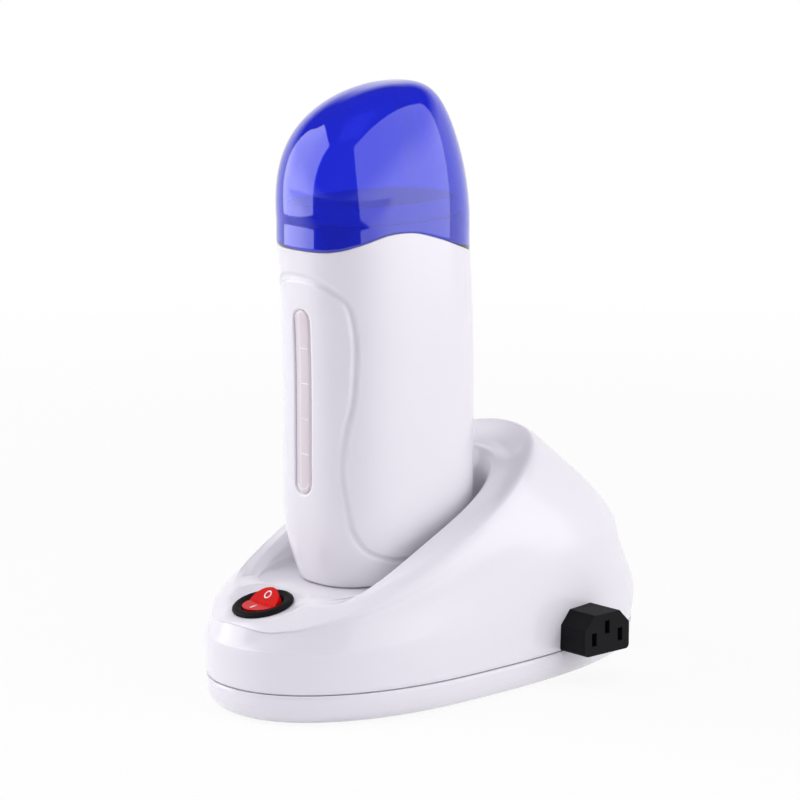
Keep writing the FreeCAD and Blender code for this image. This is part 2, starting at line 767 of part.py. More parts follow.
def bottom_steps():
    """The rounded bottom as (inset, height) steps."""
    rise = handset_full_z - handset_bottom_z
    return [(bottom_inset * (1.0 - share) ** 2, handset_bottom_z + rise * share)
            for share in (0.0, 0.22, 0.46, 0.72, 1.0)]


def lean_steps():
    """The forward bend as (height, shift) steps, ending at the cap's place."""
    rise = lean_end_z - lean_start_z
    bent = [(lean_start_z + rise * share, -handset_lean * share ** 2) for share in (0.0, 0.36, 0.7, 1.0)]
    return bent + [(handset_top_z, -handset_lean)]


def handset_form(inset, floor):
    """Solid of the handset's shape, drawn in by inset and starting floor above its bottom."""
    rise = handset_full_z - handset_bottom_z
    steps = [(own + inset, z + floor * (handset_full_z - z) / rise, 0.0) for own, z in bottom_steps()]
    return tapered(HANDSET, steps + [(inset, z, shift) for z, shift in lean_steps()])


def side_curve(points, offset=0.0):
    """Smooth curve through (y, z) points, moved sideways to its right by offset."""
    curve = Part.BSplineCurve()
    curve.interpolate([Vector(0, y, z) for y, z in points])
    if offset == 0.0:
        return curve
    moved = []
    for y, z in points:
        along = curve.tangent(curve.parameter(Vector(0, y, z)))[0]
        moved.append(Vector(0, y - along.z * offset, z + along.y * offset))
    shifted = Part.BSplineCurve()
    shifted.interpolate(moved)
    return shifted


def side_region(curve, corners):
    """Solid right across the handset over a side view closed from the curve through the corners."""
    start, end = curve.StartPoint, curve.EndPoint
    way = [end] + [Vector(0, y, z) for y, z in corners] + [start]
    wire = Part.Wire([curve.toShape()] + Part.makePolygon(way).Edges)
    face = Part.Face(wire)
    face.translate(Vector(-FAR, 0, 0))
    return face.extrude(Vector(2 * FAR, 0, 0))


def below_cap_edge(offset=0.0):
    """Region under the cap's edge, less offset."""
    curve = side_curve([(y, z - offset) for y, z in cap_edge])
    return side_region(curve, [(cap_edge[-1][0], 0), (cap_edge[0][0], 0)])


def front_region(offset=0.0):
    """Region of the front cover, in front of and below its edge, widened by offset."""
    curve = side_curve(cover_edge, offset)
    return side_region(curve, [(cover_edge[-1][0], 0), (-80, 0), (-80, cover_edge[0][1])])


CAP = Outline(cap_half_width, cap_half_depth, cap_y)


def handset_tube(low, high, inset):
    """Straight solid over the cap's outline, drawn in by inset."""
    return tapered(CAP, [(inset, low, 0.0), (inset, high, 0.0)])


def handset_screw_places():
    return [(handset_screw_x, handset_screw_y), (-handset_screw_x, handset_screw_y)]


def groove_lip(inner):
    """Sunk lip of the body, seen as a groove round the front cover."""
    band = front_region(groove_width).cut(front_region()).common(below_cap_edge(0.5))
    return handset_form(groove_depth, groove_depth).cut(inner).common(band)


def deck(inner):
    """Plate across the handset's top, with the hole that the chamber hangs in."""
    plate = inner.common(block((-FAR, -80, deck_z), (FAR, FAR, deck_z + deck_thickness)))
    return plate.cut(rounded_block(chamber_outer(0) + 2 * chamber_gap, chamber_outer(1) + 2 * chamber_gap,
                                   deck_z - 1, deck_z + deck_thickness + 1, chamber_corner + chamber_wall,
                                   chamber_y))


def spigot():
    """Tube that the cap fits over."""
    low = deck_z + deck_thickness
    step = cap_wall + cap_gap
    return handset_tube(low, spigot_top_z, step).cut(handset_tube(low - 1, spigot_top_z + 1, step + spigot_wall))


def handset_bosses(inner):
    """Screw bosses of the body with the ribs that tie them to its sides."""
    low, high = cover_edge[-1][1] + 1.2, handset_boss_top_z
    parts = []
    for x, y in handset_screw_places():
        reach = math.copysign(FAR, x)
        rib = block((min(x, reach), y - rib_thickness / 2, low + groove_width),
                    (max(x, reach), y + rib_thickness / 2, high)).common(inner)
        boss = rod(handset_post_radius, (x, y, low), (x, y, high)).fuse(rib)
        parts.append(boss.cut(rod(screw_thread_radius, (x, y, low - 1), (x, y, high - 1.5))))
    return parts


def handset_body():
    inner = handset_form(handset_wall, handset_wall)
    shell = handset_form(0.0, 0.0).common(below_cap_edge()).cut(front_region(groove_width)).cut(inner)
    return shell.fuse([groove_lip(inner), deck(inner), spigot()] + handset_bosses(inner))


def handset_front_cover():
    outer, inner = handset_form(0.0, 0.0), handset_form(handset_wall, handset_wall)
    shell = outer.cut(inner).common(front_region(-0.1))
    split_z = cover_edge[-1][1]
    posts = [rod(handset_post_radius + 0.4, (x, y, handset_bottom_z), (x, y, split_z + 1.2)).common(outer)
             for x, y in handset_screw_places()]
    shell = join([shell] + posts)
    cutters = [window_slot(window_width / 2, -FAR - 20, 0), tower_block(30, handset_bottom_z + handset_wall + 1,
                                                                     2 * tower_gap)]
    seat = handset_seat_z()
    for x, y in handset_screw_places():
        cutters.append(rod(screw_head_radius + screw_clearance, (x, y, 30), (x, y, seat)))
        cutters.append(rod(screw_thread_radius + screw_clearance, (x, y, 30), (x, y, split_z + 3)))
    return shell.cut(cutters)


def handset_seat_z():
    """Height that the handset's screw heads pull against."""
    return handset_bottom_z + head_recess + screw_head_height


def handset_screws():
    return Part.makeCompound([screw(x, y, handset_seat_z(), handset_screw_length)
                              for x, y in handset_screw_places()])


# ================================================================ level window
def window_slot(radius, front_y, back_y):
    """Upright slot with round ends, drawn out along y."""
    low, high = window_low_z + window_width / 2, window_high_z - window_width / 2
    bar = block((-radius, front_y, low), (radius, back_y, high))
    ends = [rod(radius, (0, front_y, z), (0, back_y, z)) for z in (low, high)]
    return join([bar] + ends)


def window_lens():
    """Clear strip in the slot, with a flange behind the cover's wall."""
    sunk = handset_form(window_recess, 0.0)
    inner = handset_form(handset_wall + 0.02, 0.0)
    front = handset_y - handset_half_depth
    pane = window_slot(window_width / 2 - window_gap, front - 5, front + 8).common(sunk)
    flange = window_slot(window_width / 2 + window_flange, front - 5, front + 8).common(inner)
    back = handset_form(handset_wall + window_flange_thickness, 0.0)
    return join([pane, flange]).cut(back)


# ================================================================ cartridge chamber and heating
def chamber_outer(axis):
    """Outside width (0) or depth (1) of the chamber."""
    return chamber_inner[axis] + 2 * chamber_wall


def cartridge_chamber():
    """Aluminium cup that the wax cartridge stands in, hung from the deck by its flange."""
    seat = deck_z + deck_thickness
    cup = rounded_block(chamber_outer(0), chamber_outer(1), chamber_floor_z, seat + chamber_wall,
                        chamber_corner + chamber_wall, chamber_y)
    flange = rounded_block(chamber_outer(0) + 2 * chamber_flange, chamber_outer(1) + 2 * chamber_flange,
                           seat, seat + chamber_wall, chamber_corner + chamber_flange, chamber_y)
    room = rounded_block(chamber_inner[0], chamber_inner[1], chamber_floor_z + chamber_wall, seat + 5,
                         chamber_corner, chamber_y)
    slot = block((-chamber_slot / 2, chamber_y - chamber_outer(1), chamber_slot_low_z),
                 (chamber_slot / 2, chamber_y, chamber_slot_high_z))
    return join([cup, flange]).cut([room, slot])


def cartridge_collar():
    """Guide round the chamber's mouth, standing inside the spigot."""
    low = deck_z + deck_thickness + chamber_wall
    step = cap_wall + cap_gap + spigot_wall + collar_gap
    tube = handset_tube(low, collar_top_z, step)
    room = rounded_block(chamber_inner[0], chamber_inner[1], low - 1, collar_top_z + 1, chamber_corner, chamber_y)
    well = handset_tube(low + collar_base, collar_top_z + 1, step + collar_wall)
    return tube.cut([room, well])


def heater_plates():
    """Two flat ceramic heaters against the chamber's sides."""
    thick, long, tall = heater_size
    face = chamber_outer(0) / 2
    return Part.makeCompound([block((min(s * face, s * (face + thick)), chamber_y - long / 2, heater_low_z),
                                    (max(s * face, s * (face + thick)), chamber_y + long / 2, heater_low_z + tall))
                              for s in (1, -1)])


def heater_clips():
    """Sheet-metal channels that hold the heaters to the chamber."""
    thick, long, tall = heater_size
    face = chamber_outer(0) / 2
    clips = []
    for s in (1, -1):
        out = face + thick + clip_sheet
        band = block((min(s * face, s * out), chamber_y - long / 2 - clip_sheet, heater_low_z + 8),
                     (max(s * face, s * out), chamber_y + long / 2 + clip_sheet, heater_low_z + tall - 8))
        room = block((min(s * (face - 1), s * (out - clip_sheet)), chamber_y - long / 2, heater_low_z),
                     (max(s * (face - 1), s * (out - clip_sheet)), chamber_y + long / 2, heater_low_z + tall))
        clips.append(band.cut(room))
    return Part.makeCompound(clips)


def chamber_back_y():
    return chamber_y + chamber_outer(1) / 2


def thermostat():
    """Disc thermostat against the chamber's back, with two tabs."""
    y = chamber_back_y()
    disc = rod(thermostat_radius, (0, y, thermostat_z), (0, y + thermostat_depth - 2, thermostat_z))
    top = rod(thermostat_radius - 1.5, (0, y, thermostat_z), (0, y + thermostat_depth, thermostat_z))
    tabs = [block((x - 1.6, y + thermostat_depth - 2.6, thermostat_z - thermostat_radius - 4),
                  (x + 1.6, y + thermostat_depth - 2.0, thermostat_z)) for x in (-4, 4)]
    return join([disc, top] + tabs)


def thermal_fuse():
    """Round thermal fuse lying across the chamber's back, with its leads."""
    y = chamber_back_y() + fuse_radius
    body = rod(fuse_radius, (-fuse_length / 2, y, fuse_z), (fuse_length / 2, y, fuse_z))
    leads = rod(0.5, (-fuse_length / 2 - 3, y, fuse_z), (fuse_length / 2 + 3, y, fuse_z))
    return join([body, leads])


# ================================================================ handset socket
def handset_socket():
    """Female connector in the handset's bottom, over the dock's tower."""
    low = handset_bottom_z + handset_wall
    roof = dock_floor_z + tower_height + tower_gap
    body = tower_block(low, socket_top_z, 2 * tower_gap + socket_wall)
    recess = tower_block(low - 1, roof, 2 * tower_gap)
    outer = dock_pin_radius + socket_pin_gap + socket_tube_wall
    bores = [rod(outer, (x, dock_y, roof), (x, dock_y, socket_top_z + 1)) for x in dock_pin_places()]
    return body.cut([recess] + bores)


def handset_contacts():
    """Tubular contacts with solder tails above the socket."""
    roof = dock_floor_z + tower_height + tower_gap
    inner = dock_pin_radius + socket_pin_gap
    outer = inner + socket_tube_wall
    contacts = []
    for x in dock_pin_places():
        tube = rod(outer, (x, dock_y, roof), (x, dock_y, socket_top_z + 1.0))
        bore = rod(inner, (x, dock_y, roof - 1), (x, dock_y, roof + socket_tube_length))
        tail = rod(0.8, (x, dock_y, socket_top_z), (x, dock_y, socket_top_z + socket_tail))
        contacts.append(join([tube, tail]).cut(bore))
    return Part.makeCompound(contacts)


# ================================================================ cap
def dome_edges(share, wall=0.0):
    """The cap's outline at a share of the dome's height, leaning forwards and then back."""
    size = max(1.0 - share ** cap_dome_power, 0.0) ** (1.0 / cap_dome_power)
    lean = cap_lean_back * share ** 5 - cap_lean_forward * math.sin(math.pi * share)
    height = (cap_top_z - wall - cap_dome_z) * share
    return arc_edges(CAP, cap_dome_z + height, inset=wall, scale=size, shift=lean)


def dome(shares, wall=0.0):
    """Solid of the dome through its outline at each share of its height, drawn in by wall."""
    rings = [dome_edges(share, wall) for share in shares]
    faces = [Part.makeRuledSurface(a, b, 1) for one, two in zip(rings, rings[1:]) for a, b in zip(one, two)]
    return sewn_solid(faces + [Part.Face(Part.Wire(rings[0])), Part.Face(Part.Wire(rings[-1]))])


def cap_outer():
    """Solid of the cap's outside: a straight skirt under a leaning dome."""
    return dome((0.0, 0.24, 0.46, 0.65, 0.8, 0.91, cap_crown)).fuse(handset_tube(cap_skirt_z, cap_dome_z, 0.0))


def cap_inner():
    """Hollow of the cap, with room for a cartridge's roller."""
    return dome((0.0, 0.4, 0.72, 0.93), cap_wall).fuse(
        handset_tube(cap_skirt_z - 1, cap_dome_z, cap_wall))


def cap():
    shell = cap_outer().cut(cap_inner())
    return shell.cut(below_cap_edge(-cap_edge_gap))


NODES = [
    base_housing, base_cover, rubber_feet, base_screws,
    switch_housing, switch_rocker, switch_lamp, switch_terminals,
    outlet_block, outlet_contacts, inlet_shell, inlet_pins,
    dock_connector, dock_pins,
    handset_body, handset_front_cover, handset_screws, window_lens,
    cartridge_chamber, cartridge_collar, heater_plates, heater_clips, thermostat, thermal_fuse,
    handset_socket, handset_contacts,
    cap,
]

os.makedirs("parts", exist_ok=True)
for make in NODES:
    save(make.__name__, make())
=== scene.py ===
import math

import bmesh
import bpy
import numpy as np
from mathutils import Matrix, Vector


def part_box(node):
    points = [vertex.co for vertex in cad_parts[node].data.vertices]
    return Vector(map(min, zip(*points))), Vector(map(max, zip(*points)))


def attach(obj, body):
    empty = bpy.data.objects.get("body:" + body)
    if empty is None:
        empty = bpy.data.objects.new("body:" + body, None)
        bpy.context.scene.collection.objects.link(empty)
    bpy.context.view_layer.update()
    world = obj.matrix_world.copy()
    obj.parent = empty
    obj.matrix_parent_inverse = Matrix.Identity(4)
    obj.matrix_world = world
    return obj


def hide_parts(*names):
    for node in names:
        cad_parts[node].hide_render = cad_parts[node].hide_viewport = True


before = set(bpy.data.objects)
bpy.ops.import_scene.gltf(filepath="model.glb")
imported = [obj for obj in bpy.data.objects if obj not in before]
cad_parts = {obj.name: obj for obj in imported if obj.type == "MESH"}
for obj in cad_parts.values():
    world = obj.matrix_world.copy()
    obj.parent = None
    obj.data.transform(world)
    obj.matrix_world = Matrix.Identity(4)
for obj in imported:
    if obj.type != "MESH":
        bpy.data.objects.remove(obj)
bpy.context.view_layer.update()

# Roll-on wax heater on its charging base. Lengths are in millimetres and are turned into
# metres when a mesh is made; places and sizes of lamps and the camera's clipping are in metres.
# -Y is the nose with the switch, +X the outlet side.
MM = 0.001

# ---------------------------------------------------------------- base
SEAM_Z = 12.5
SEAM_GAP = 0.3
WALL_HALF, NOSE_Y, TAIL_Y, WIDEST_Y = 49.0, -94.0, 106.0, -14.0
WALL_TUCK = 0.5
BULGE_Z = 27.0
CREST_HALF, CREST_FRONT, CREST_BACK = 44.5, -88.0, 50.0
CREST_START_Y, CREST_LOW_Z, CREST_HIGH_Z, CREST_RISE, CREST_FALL = -90.0, 36.5, 96.2, 0.27, 0.5
CORNER_Y, CORNER_Z, CORNER_NOSE_Z, CORNER_INSET, CORNER_NOSE_INSET = 89.5, 59.5, 33.3, 1.2, 1.8
DRAFT_SIDE, DRAFT_NOSE, DRAFT_TAIL = 0.05, 0.1, 0.34        # growth of the wall per mm down
LOW_WALL_DROP, LOW_WALL_NOSE_Z = 12.0, 29.5
RIM_HALF, RIM_FRONT, RIM_BACK, RIM_MIDDLE = 34.0, -66.0, 32.0, -15.0
RISE_Y, RIM_LIP, RIM_HIGH_Z, RIM_RISE, RIM_FALL = -60.0, 0.93, 88.0, 0.5, 0.32
BAND_DISH = 1.1
FOOT_HALF, FOOT_FRONT, FOOT_BACK = 28.5, -64.5, 23.0
DOCK_Z = 45.0
# Powers of the ovals' nose and tail ends: 2 is an ellipse, and more is squarer.
NOSE_POWER, WALL_POWER, CORNER_POWER, CREST_POWER = 2.15, 2.53, 2.9, 2.05
WELL_POWER, FOOT_POWER = 4.0, 2.3
INLET_WALL, INLET_FLANGE = 1.2, 2.0
INLET_SIDE_X = -30.0                                        # the far wall lies beyond it

# ---------------------------------------------------------------- switch
SEAT_RADIUS, SEAT_BLEND, SEAT_REACH, SEAT_DEPTH = 12.4, 20.5, 8.0, 0.05
SWITCH_HOLE = 9.6
SWITCH_AROUND = 96                                          # points round the bezel
OPENING_HALF, OPENING_LENGTH = 7.6, 8.15
BARREL_END = -13.0
PIVOT_Y, PIVOT_Z, PIVOT_DEPTH = -76.25, 40.26, 1.0
SWITCH_SLOPE, SOLID_SLOPE = 13.0, 20.3                      # degrees, here and in the solids
ROCKER_SHARE, ROCKER_TILT = 0.87, 12.0                      # of the solid's size; degrees at rest
ROCKER_VALLEY, ROCKER_TIP, ROCKER_REACH = 1.4, 4.2, 8.4     # crown of the solid's two faces
MARK_LIFT, MARK_THICKNESS = 0.1, 0.04
BAR_HALF, BAR_NEAR, BAR_FAR = 0.45, 2.6, 6.4                # the I
RING_INNER, RING_OUTER, RING_Y, RING_POINTS = 1.35, 1.95, 4.6, 40       # the O

# ---------------------------------------------------------------- hand-held heater and cap
HANDSET_Y, HANDSET_POWER = -17.9, 2.6
HANDSET_HALF, HANDSET_DEPTH = 27.3, 38.6
BOTTOM_Z, FULL_Z, BOTTOM_INSET, ROWS_TOP_Z = 45.3, 76.0, 6.5, 152.0
LEAN_LOW, LEAN_HIGH, LEAN = 120.0, 176.0, 2.6
SHELL_WALL = 2.4
GROOVE_WIDTH, GROOVE_DEPTH, GROOVE_EDGE = 2.4, 0.9, 0.6
DECK_TOP, DECK_THICKNESS = 167.7, 2.3
SPIGOT_TOP, SPIGOT_WALL, SPIGOT_GAP, SPIGOT_EDGE = 184.5, 2.0, 0.35, 0.4
CHAMBER_HALF, CHAMBER_DEPTH, CHAMBER_Y, CHAMBER_POWER = 16.7, 28.7, -20.0, 6.0
WINDOW_HALF, WINDOW_LOW, WINDOW_HIGH, WINDOW_DEPTH = 4.7, 81.0, 152.5, 1.3
PANE_GAP, PANE_THICKNESS, PANE_SINK, PANE_EDGE_SINK, PANE_ROUND = 0.35, 0.4, 0.45, 0.6, 0.8
LINE_HALF, LINE_THICKNESS, LINE_RISE = 0.17, 0.05, 0.43
GRADUATIONS = (96.8, 110.3, 124.1, 137.5)
END_LINE_RADIUS = 3.1
CAP_Y, CAP_HALF, CAP_DEPTH, CAP_WALL, CAP_GAP = -20.5, 27.5, 38.8, 2.2, 0.25
DOME_Z, CAP_TOP, DOME_POWER, LEAN_FORWARD, LEAN_BACK = 184.0, 235.2, 2.34, 1.2, 10.6

# Side views as (y, z): the cap's edge, and the edge of the handset's front cover.
CAP_EDGE = [(-72.0, 175.4), (-56.5, 175.3), (-46.5, 178.2), (-36.0, 181.1), (-25.5, 181.2),
            (-11.5, 177.7), (2.0, 173.1), (14.5, 169.0), (32.0, 165.0)]
COVER_EDGE = [(-66.0, 167.4), (-58.2, 166.2), (-54.0, 161.9), (-50.0, 156.6), (-47.6, 147.0),
              (-46.9, 132.0), (-47.6, 119.0), (-49.7, 105.4), (-50.4, 93.0), (-49.5, 80.0),
              (-46.9, 67.2), (-42.2, 61.2), (-33.5, 57.4), (-12.0, 56.2), (32.0, 56.0)]

AROUND = 288                        # points round a shell
FINE_AROUND = 2000                  # points round a section that is only measured
OVAL_SAMPLES = 4001                 # samples of an oval before its points are spaced evenly
CURVE_POINTS = 400                  # points along a side-view curve
LEVEL_ROWS, BENT_ROWS = 190, 46     # rows of the handset, below and towards its wavy edge
SKIRT_ROWS, DOME_ROWS = 9, 60
PANE_ROWS, PANE_COLUMNS = 140, 20


# ================================================================ curves and surfaces
def smooth(value, low, high):
    """0 below low, 1 above high, and a smooth step between."""
    share = np.clip((np.asarray(value, float) - low) / (high - low), 0.0, 1.0)
    return share * share * (3.0 - 2.0 * share)


def bend(y, start, low, rise_in, end, high, rise_out):
    """A cubic from low to high that leaves and arrives with the given slopes."""
    length = end - start
    s = np.clip((np.asarray(y, float) - start) / length, 0.0, 1.0)
    flat = low + (high - low) * s * s * (3.0 - 2.0 * s)
    return flat + length * (rise_in * s * (1.0 - s) ** 2 - rise_out * s * s * (1.0 - s))


def oval(half, front, back, middle, nose_power, tail_power, count=AROUND):
    """Points round an oval as (x, y), evenly spaced from the nose."""
    angle = np.linspace(0.0, 2.0 * math.pi, OVAL_SAMPLES)
    sine, cosine = np.sin(angle), np.cos(angle)
    power = np.where(cosine > 0, nose_power, tail_power)
    x = half * np.sign(sine) * np.abs(sine) ** (2.0 / power)
    reach = np.where(cosine > 0, middle - front, back - middle)
    y = middle - np.sign(cosine) * np.abs(cosine) ** (2.0 / power) * reach
    run = np.concatenate([[0.0], np.cumsum(np.hypot(np.diff(x), np.diff(y)))])
    goal = np.linspace(0.0, run[-1], count + 1)[:-1]
    return np.stack([np.interp(goal, run, x), np.interp(goal, run, y)], axis=1)


def lift(points, height):
    """The (x, y) points at a height, which is a number or a function of y."""
    z = height(points[:, 1]) if callable(height) else np.full(len(points), float(height))
    return np.column_stack([points, z])


def hermite(one, two, start, end, t):
    """The cubic from one to two that leaves by start and arrives by end, at t from 0 to 1."""
    return (one * (2 * t ** 3 - 3 * t ** 2 + 1) + start * (t ** 3 - 2 * t ** 2 + t)
            + two * (3 * t ** 2 - 2 * t ** 3) + end * (t ** 3 - t ** 2))


def between(rings, steps, sharp):
    """Rings with smooth ones added between them; the surface has an edge at each sharp ring."""
    gaps = [np.linalg.norm(b - a, axis=1).mean() for a, b in zip(rings, rings[1:])]

    def slope(i, side):
        """Direction of the surface at a ring, on its near (-1) or far (1) side."""
        if i == 0 or (i in sharp and side > 0):
            return (rings[i + 1] - rings[i]) / gaps[i]
        if i == len(rings) - 1 or i in sharp:
            return (rings[i] - rings[i - 1]) / gaps[i - 1]
        before, after = gaps[i - 1], gaps[i]
        back, ahead = (rings[i] - rings[i - 1]) / before, (rings[i + 1] - rings[i]) / after
        return (back * after + ahead * before) / (before + after)

    out = [rings[0]]
    for i, (one, two) in enumerate(zip(rings, rings[1:])):
        start, end = slope(i, 1) * gaps[i], slope(i + 1, -1) * gaps[i]
        for t in np.linspace(0.0, 1.0, steps[i] + 1)[1:]:
            out.append(hermite(one, two, start, end, t))
    return out


def curve_points(knots):
    """Points along a smooth curve through the knots."""
    knots = np.array(knots, float)
    run = np.concatenate([[0.0], np.cumsum(np.linalg.norm(np.diff(knots, axis=0), axis=1))])
    slope = np.gradient(knots, run, axis=0)
    out = []
    for place in np.linspace(0.0, run[-1], CURVE_POINTS):
        i = min(max(np.searchsorted(run, place) - 1, 0), len(run) - 2)
        gap = run[i + 1] - run[i]
        out.append(hermite(knots[i], knots[i + 1], slope[i] * gap, slope[i + 1] * gap,
                           (place - run[i]) / gap))
    return np.array(out)


def side_of_curve(y, z, line):
    """Signed distance of (y, z) from a side-view line, positive on the left of its course."""
    start, step = line[:-1], np.diff(line, axis=0)
    length = np.linalg.norm(step, axis=1)
    best, sign = np.full(y.shape, 1e9), np.ones(y.shape)
    for (sy, sz), (dy, dz), size in zip(start, step, length):
        along = np.clip(((y - sy) * dy + (z - sz) * dz) / size ** 2, 0.0, 1.0)
        gap = np.hypot(y - sy - along * dy, z - sz - along * dz)
        nearer = gap < best
        best = np.where(nearer, gap, best)
        sign = np.where(nearer, np.sign((z - sz) * dy - (y - sy) * dz), sign)
    return best * sign


# ================================================================ meshes and objects
def shade_smooth(mesh):
    """Shade every face smoothly."""
    mesh.polygons.foreach_set("use_smooth", [True] * len(mesh.polygons))


def mesh_object(name, vertices, faces):
    """A smoothly shaded object from millimetre vertices."""
    mesh = bpy.data.meshes.new(name)
    mesh.from_pydata([tuple(MM * c for c in v) for v in vertices], [], faces)
    shade_smooth(mesh)
    mesh.update()
    thing = bpy.data.objects.new(name, mesh)
    bpy.context.scene.collection.objects.link(thing)
    return thing


def skin(name, rings, close_start=False, close_end=False):
    """A tube through the rings, with its ends closed on request."""
    size = len(rings[0])
    vertices = np.concatenate(rings).tolist()
    faces = []
    for r in range(len(rings) - 1):
        for i in range(size):
            j = (i + 1) % size
            faces.append((r * size + i, r * size + j, (r + 1) * size + j, (r + 1) * size + i))
    if close_start:
        faces.append(tuple(range(size - 1, -1, -1)))
    if close_end:
        faces.append(tuple(range((len(rings) - 1) * size, len(rings) * size)))
    thing = mesh_object(name, vertices, faces)
    tidy_normals(thing)
    return thing


def tidy_normals(thing):
    """Make the faces look outwards."""
    work = bmesh.new()
    work.from_mesh(thing.data)
    bmesh.ops.recalc_face_normals(work, faces=work.faces)
    work.to_mesh(thing.data)
    work.free()


def soft_edges(thing, width):
    """Rounded edges and smooth shading for a crisp solid."""
    shade_smooth(thing.data)
    bevel = thing.modifiers.new("edges", "BEVEL")
    bevel.width = width * MM
    bevel.segments = 2
    bevel.limit_method = "ANGLE"
    bevel.angle_limit = math.radians(35.0)
    bevel.harden_normals = True


def thicken(thing, name, thickness):
    """Give a sheet its thickness."""
    modifier = thing.modifiers.new(name, "SOLIDIFY")
    modifier.thickness = thickness * MM
    return modifier


def paint(thing, material):
    """Give the whole object one material."""
    thing.data.materials.clear()
    thing.data.materials.append(material)


# ================================================================ materials
def new_material(name):
    """A new material with its node tree and its shader."""
    material = bpy.data.materials.new(name)
    material.use_nodes = True
    return material, material.node_tree, material.node_tree.nodes["Principled BSDF"]


def noise(tree, scale, detail=2.0, roughness=0.5):
    """Noise texture on the object's own coordinates, so that it doesn't slide."""
    place = tree.nodes.new("ShaderNodeTexCoord")
    texture = tree.nodes.new("ShaderNodeTexNoise")
    texture.inputs["Scale"].default_value = scale
    texture.inputs["Detail"].default_value = detail
    texture.inputs["Roughness"].default_value = roughness
    tree.links.new(place.outputs["Object"], texture.inputs["Vector"])
    return texture.outputs["Fac"]


def vary(tree, factor, low, high, socket):
    """Drive a socket between two numbers by a factor."""
    span = tree.nodes.new("ShaderNodeMapRange")
    span.inputs["To Min"].default_value = low
    span.inputs["To Max"].default_value = high
    tree.links.new(factor, span.inputs["Value"])
    tree.links.new(span.outputs["Result"], socket)


def tint(tree, factor, one, two, socket):
    """Drive a colour socket between two colours by a factor."""
    ramp = tree.nodes.new("ShaderNodeValToRGB")
    ramp.color_ramp.elements[0].color = (*one, 1.0)
    ramp.color_ramp.elements[1].color = (*two, 1.0)
    tree.links.new(factor, ramp.inputs["Fac"])
    tree.links.new(ramp.outputs["Color"], socket)


def grain(tree, shader, factor, strength, distance):
    """Fine surface relief."""
    bump = tree.nodes.new("ShaderNodeBump")
    bump.inputs["Strength"].default_value = strength
    bump.inputs["Distance"].default_value = distance * MM
    tree.links.new(factor, bump.inputs["Height"])
    tree.links.new(bump.outputs["Normal"], shader.inputs["Normal"])


def plastic(name, dark, light, roughness, spread, grain_size, relief, coat=0.0, gloss=0.5):
    """Moulded plastic: slight flow marks in the colour and gloss, and a fine grain."""
    material, tree, shader = new_material(name)
    flow, wear = noise(tree, scale=28.0, detail=3.0), noise(tree, scale=90.0, detail=4.0)
    tint(tree, flow, dark, light, shader.inputs["Base Color"])
    vary(tree, wear, roughness - spread, roughness + spread, shader.inputs["Roughness"])
    shader.inputs["Specular IOR Level"].default_value = gloss
    shader.inputs["Coat Weight"].default_value = coat
    shader.inputs["Coat Roughness"].default_value = 0.1
    grain(tree, shader, noise(tree, scale=grain_size), strength=0.35, distance=relief)
    return material


def metal(name, dark, light, roughness):
    """Metal with drawing marks."""
    material, tree, shader = new_material(name)
    shader.inputs["Metallic"].default_value = 1.0
    marks = noise(tree, scale=260.0, detail=6.0, roughness=0.7)
    tint(tree, marks, dark, light, shader.inputs["Base Color"])
    vary(tree, marks, roughness - 0.08, roughness + 0.1, shader.inputs["Roughness"])
    grain(tree, shader, marks, strength=0.3, distance=0.02)
    return material


def clear_plastic(name, colour, roughness, weight=1.0, coat=0.0):
    """Tinted see-through plastic with a slightly uneven gloss."""
    material, tree, shader = new_material(name)
    shader.inputs["Base Color"].default_value = (*colour, 1.0)
    shader.inputs["Transmission Weight"].default_value = weight
    shader.inputs["IOR"].default_value = 1.49
    shader.inputs["Coat Weight"].default_value = coat
    shader.inputs["Coat Roughness"].default_value = 0.04
    vary(tree, noise(tree, scale=60.0, detail=3.0), roughness * 0.6, roughness * 1.4,
         shader.inputs["Roughness"])
    grain(tree, shader, noise(tree, scale=35.0, detail=1.0), strength=0.05, distance=0.05)
    return material


def window_painted_shade_and_highlight(material):
    """Colour of the clear strip across its width: a dark edge of painted shade along its -X side,
    with a painted highlight line inside it.
    """
    tree = material.node_tree
    place, split = tree.nodes.new("ShaderNodeTexCoord"), tree.nodes.new("ShaderNodeSeparateXYZ")
    tree.links.new(place.outputs["Object"], split.inputs["Vector"])
    across, ramp = tree.nodes.new("ShaderNodeMapRange"), tree.nodes.new("ShaderNodeValToRGB")
    across.inputs["From Min"].default_value = -WINDOW_HALF * MM
    across.inputs["From Max"].default_value = WINDOW_HALF * MM
    # Painted shade at the -X edge, a white painted highlight line at 0.37, pinkish grey across the
    # rest, and lighter again at the +X edge.
    shade_and_highlight_tones = [(0.05, (0.12, 0.06, 0.14)), (0.11, (0.30, 0.22, 0.33)), (0.17, (0.88, 0.82, 0.86)),
             (0.33, (0.92, 0.87, 0.90)), (0.37, (1.0, 1.0, 1.0)), (0.42, (0.90, 0.82, 0.85)),
             (0.90, (0.84, 0.77, 0.80)), (0.97, (0.95, 0.92, 0.95))]
    while len(ramp.color_ramp.elements) < len(shade_and_highlight_tones):
        ramp.color_ramp.elements.new(0.5)
    for element, (position, colour) in zip(ramp.color_ramp.elements, shade_and_highlight_tones):
        element.position, element.color = position, (*colour, 1.0)
    tree.links.new(split.outputs["X"], across.inputs["Value"])
    tree.links.new(across.outputs["Result"], ramp.inputs["Fac"])
    tree.links.new(ramp.outputs["Color"], tree.nodes["Principled BSDF"].inputs["Base Color"])


def absorb(material, colour, density):
    """Thicker places look deeper in colour."""
    tree = material.node_tree
    depth = tree.nodes.new("ShaderNodeVolumeAbsorption")
    depth.inputs["Color"].default_value = (*colour, 1.0)
    depth.inputs["Density"].default_value = density
    tree.links.new(depth.outputs["Volume"], tree.nodes["Material Output"].inputs["Volume"])


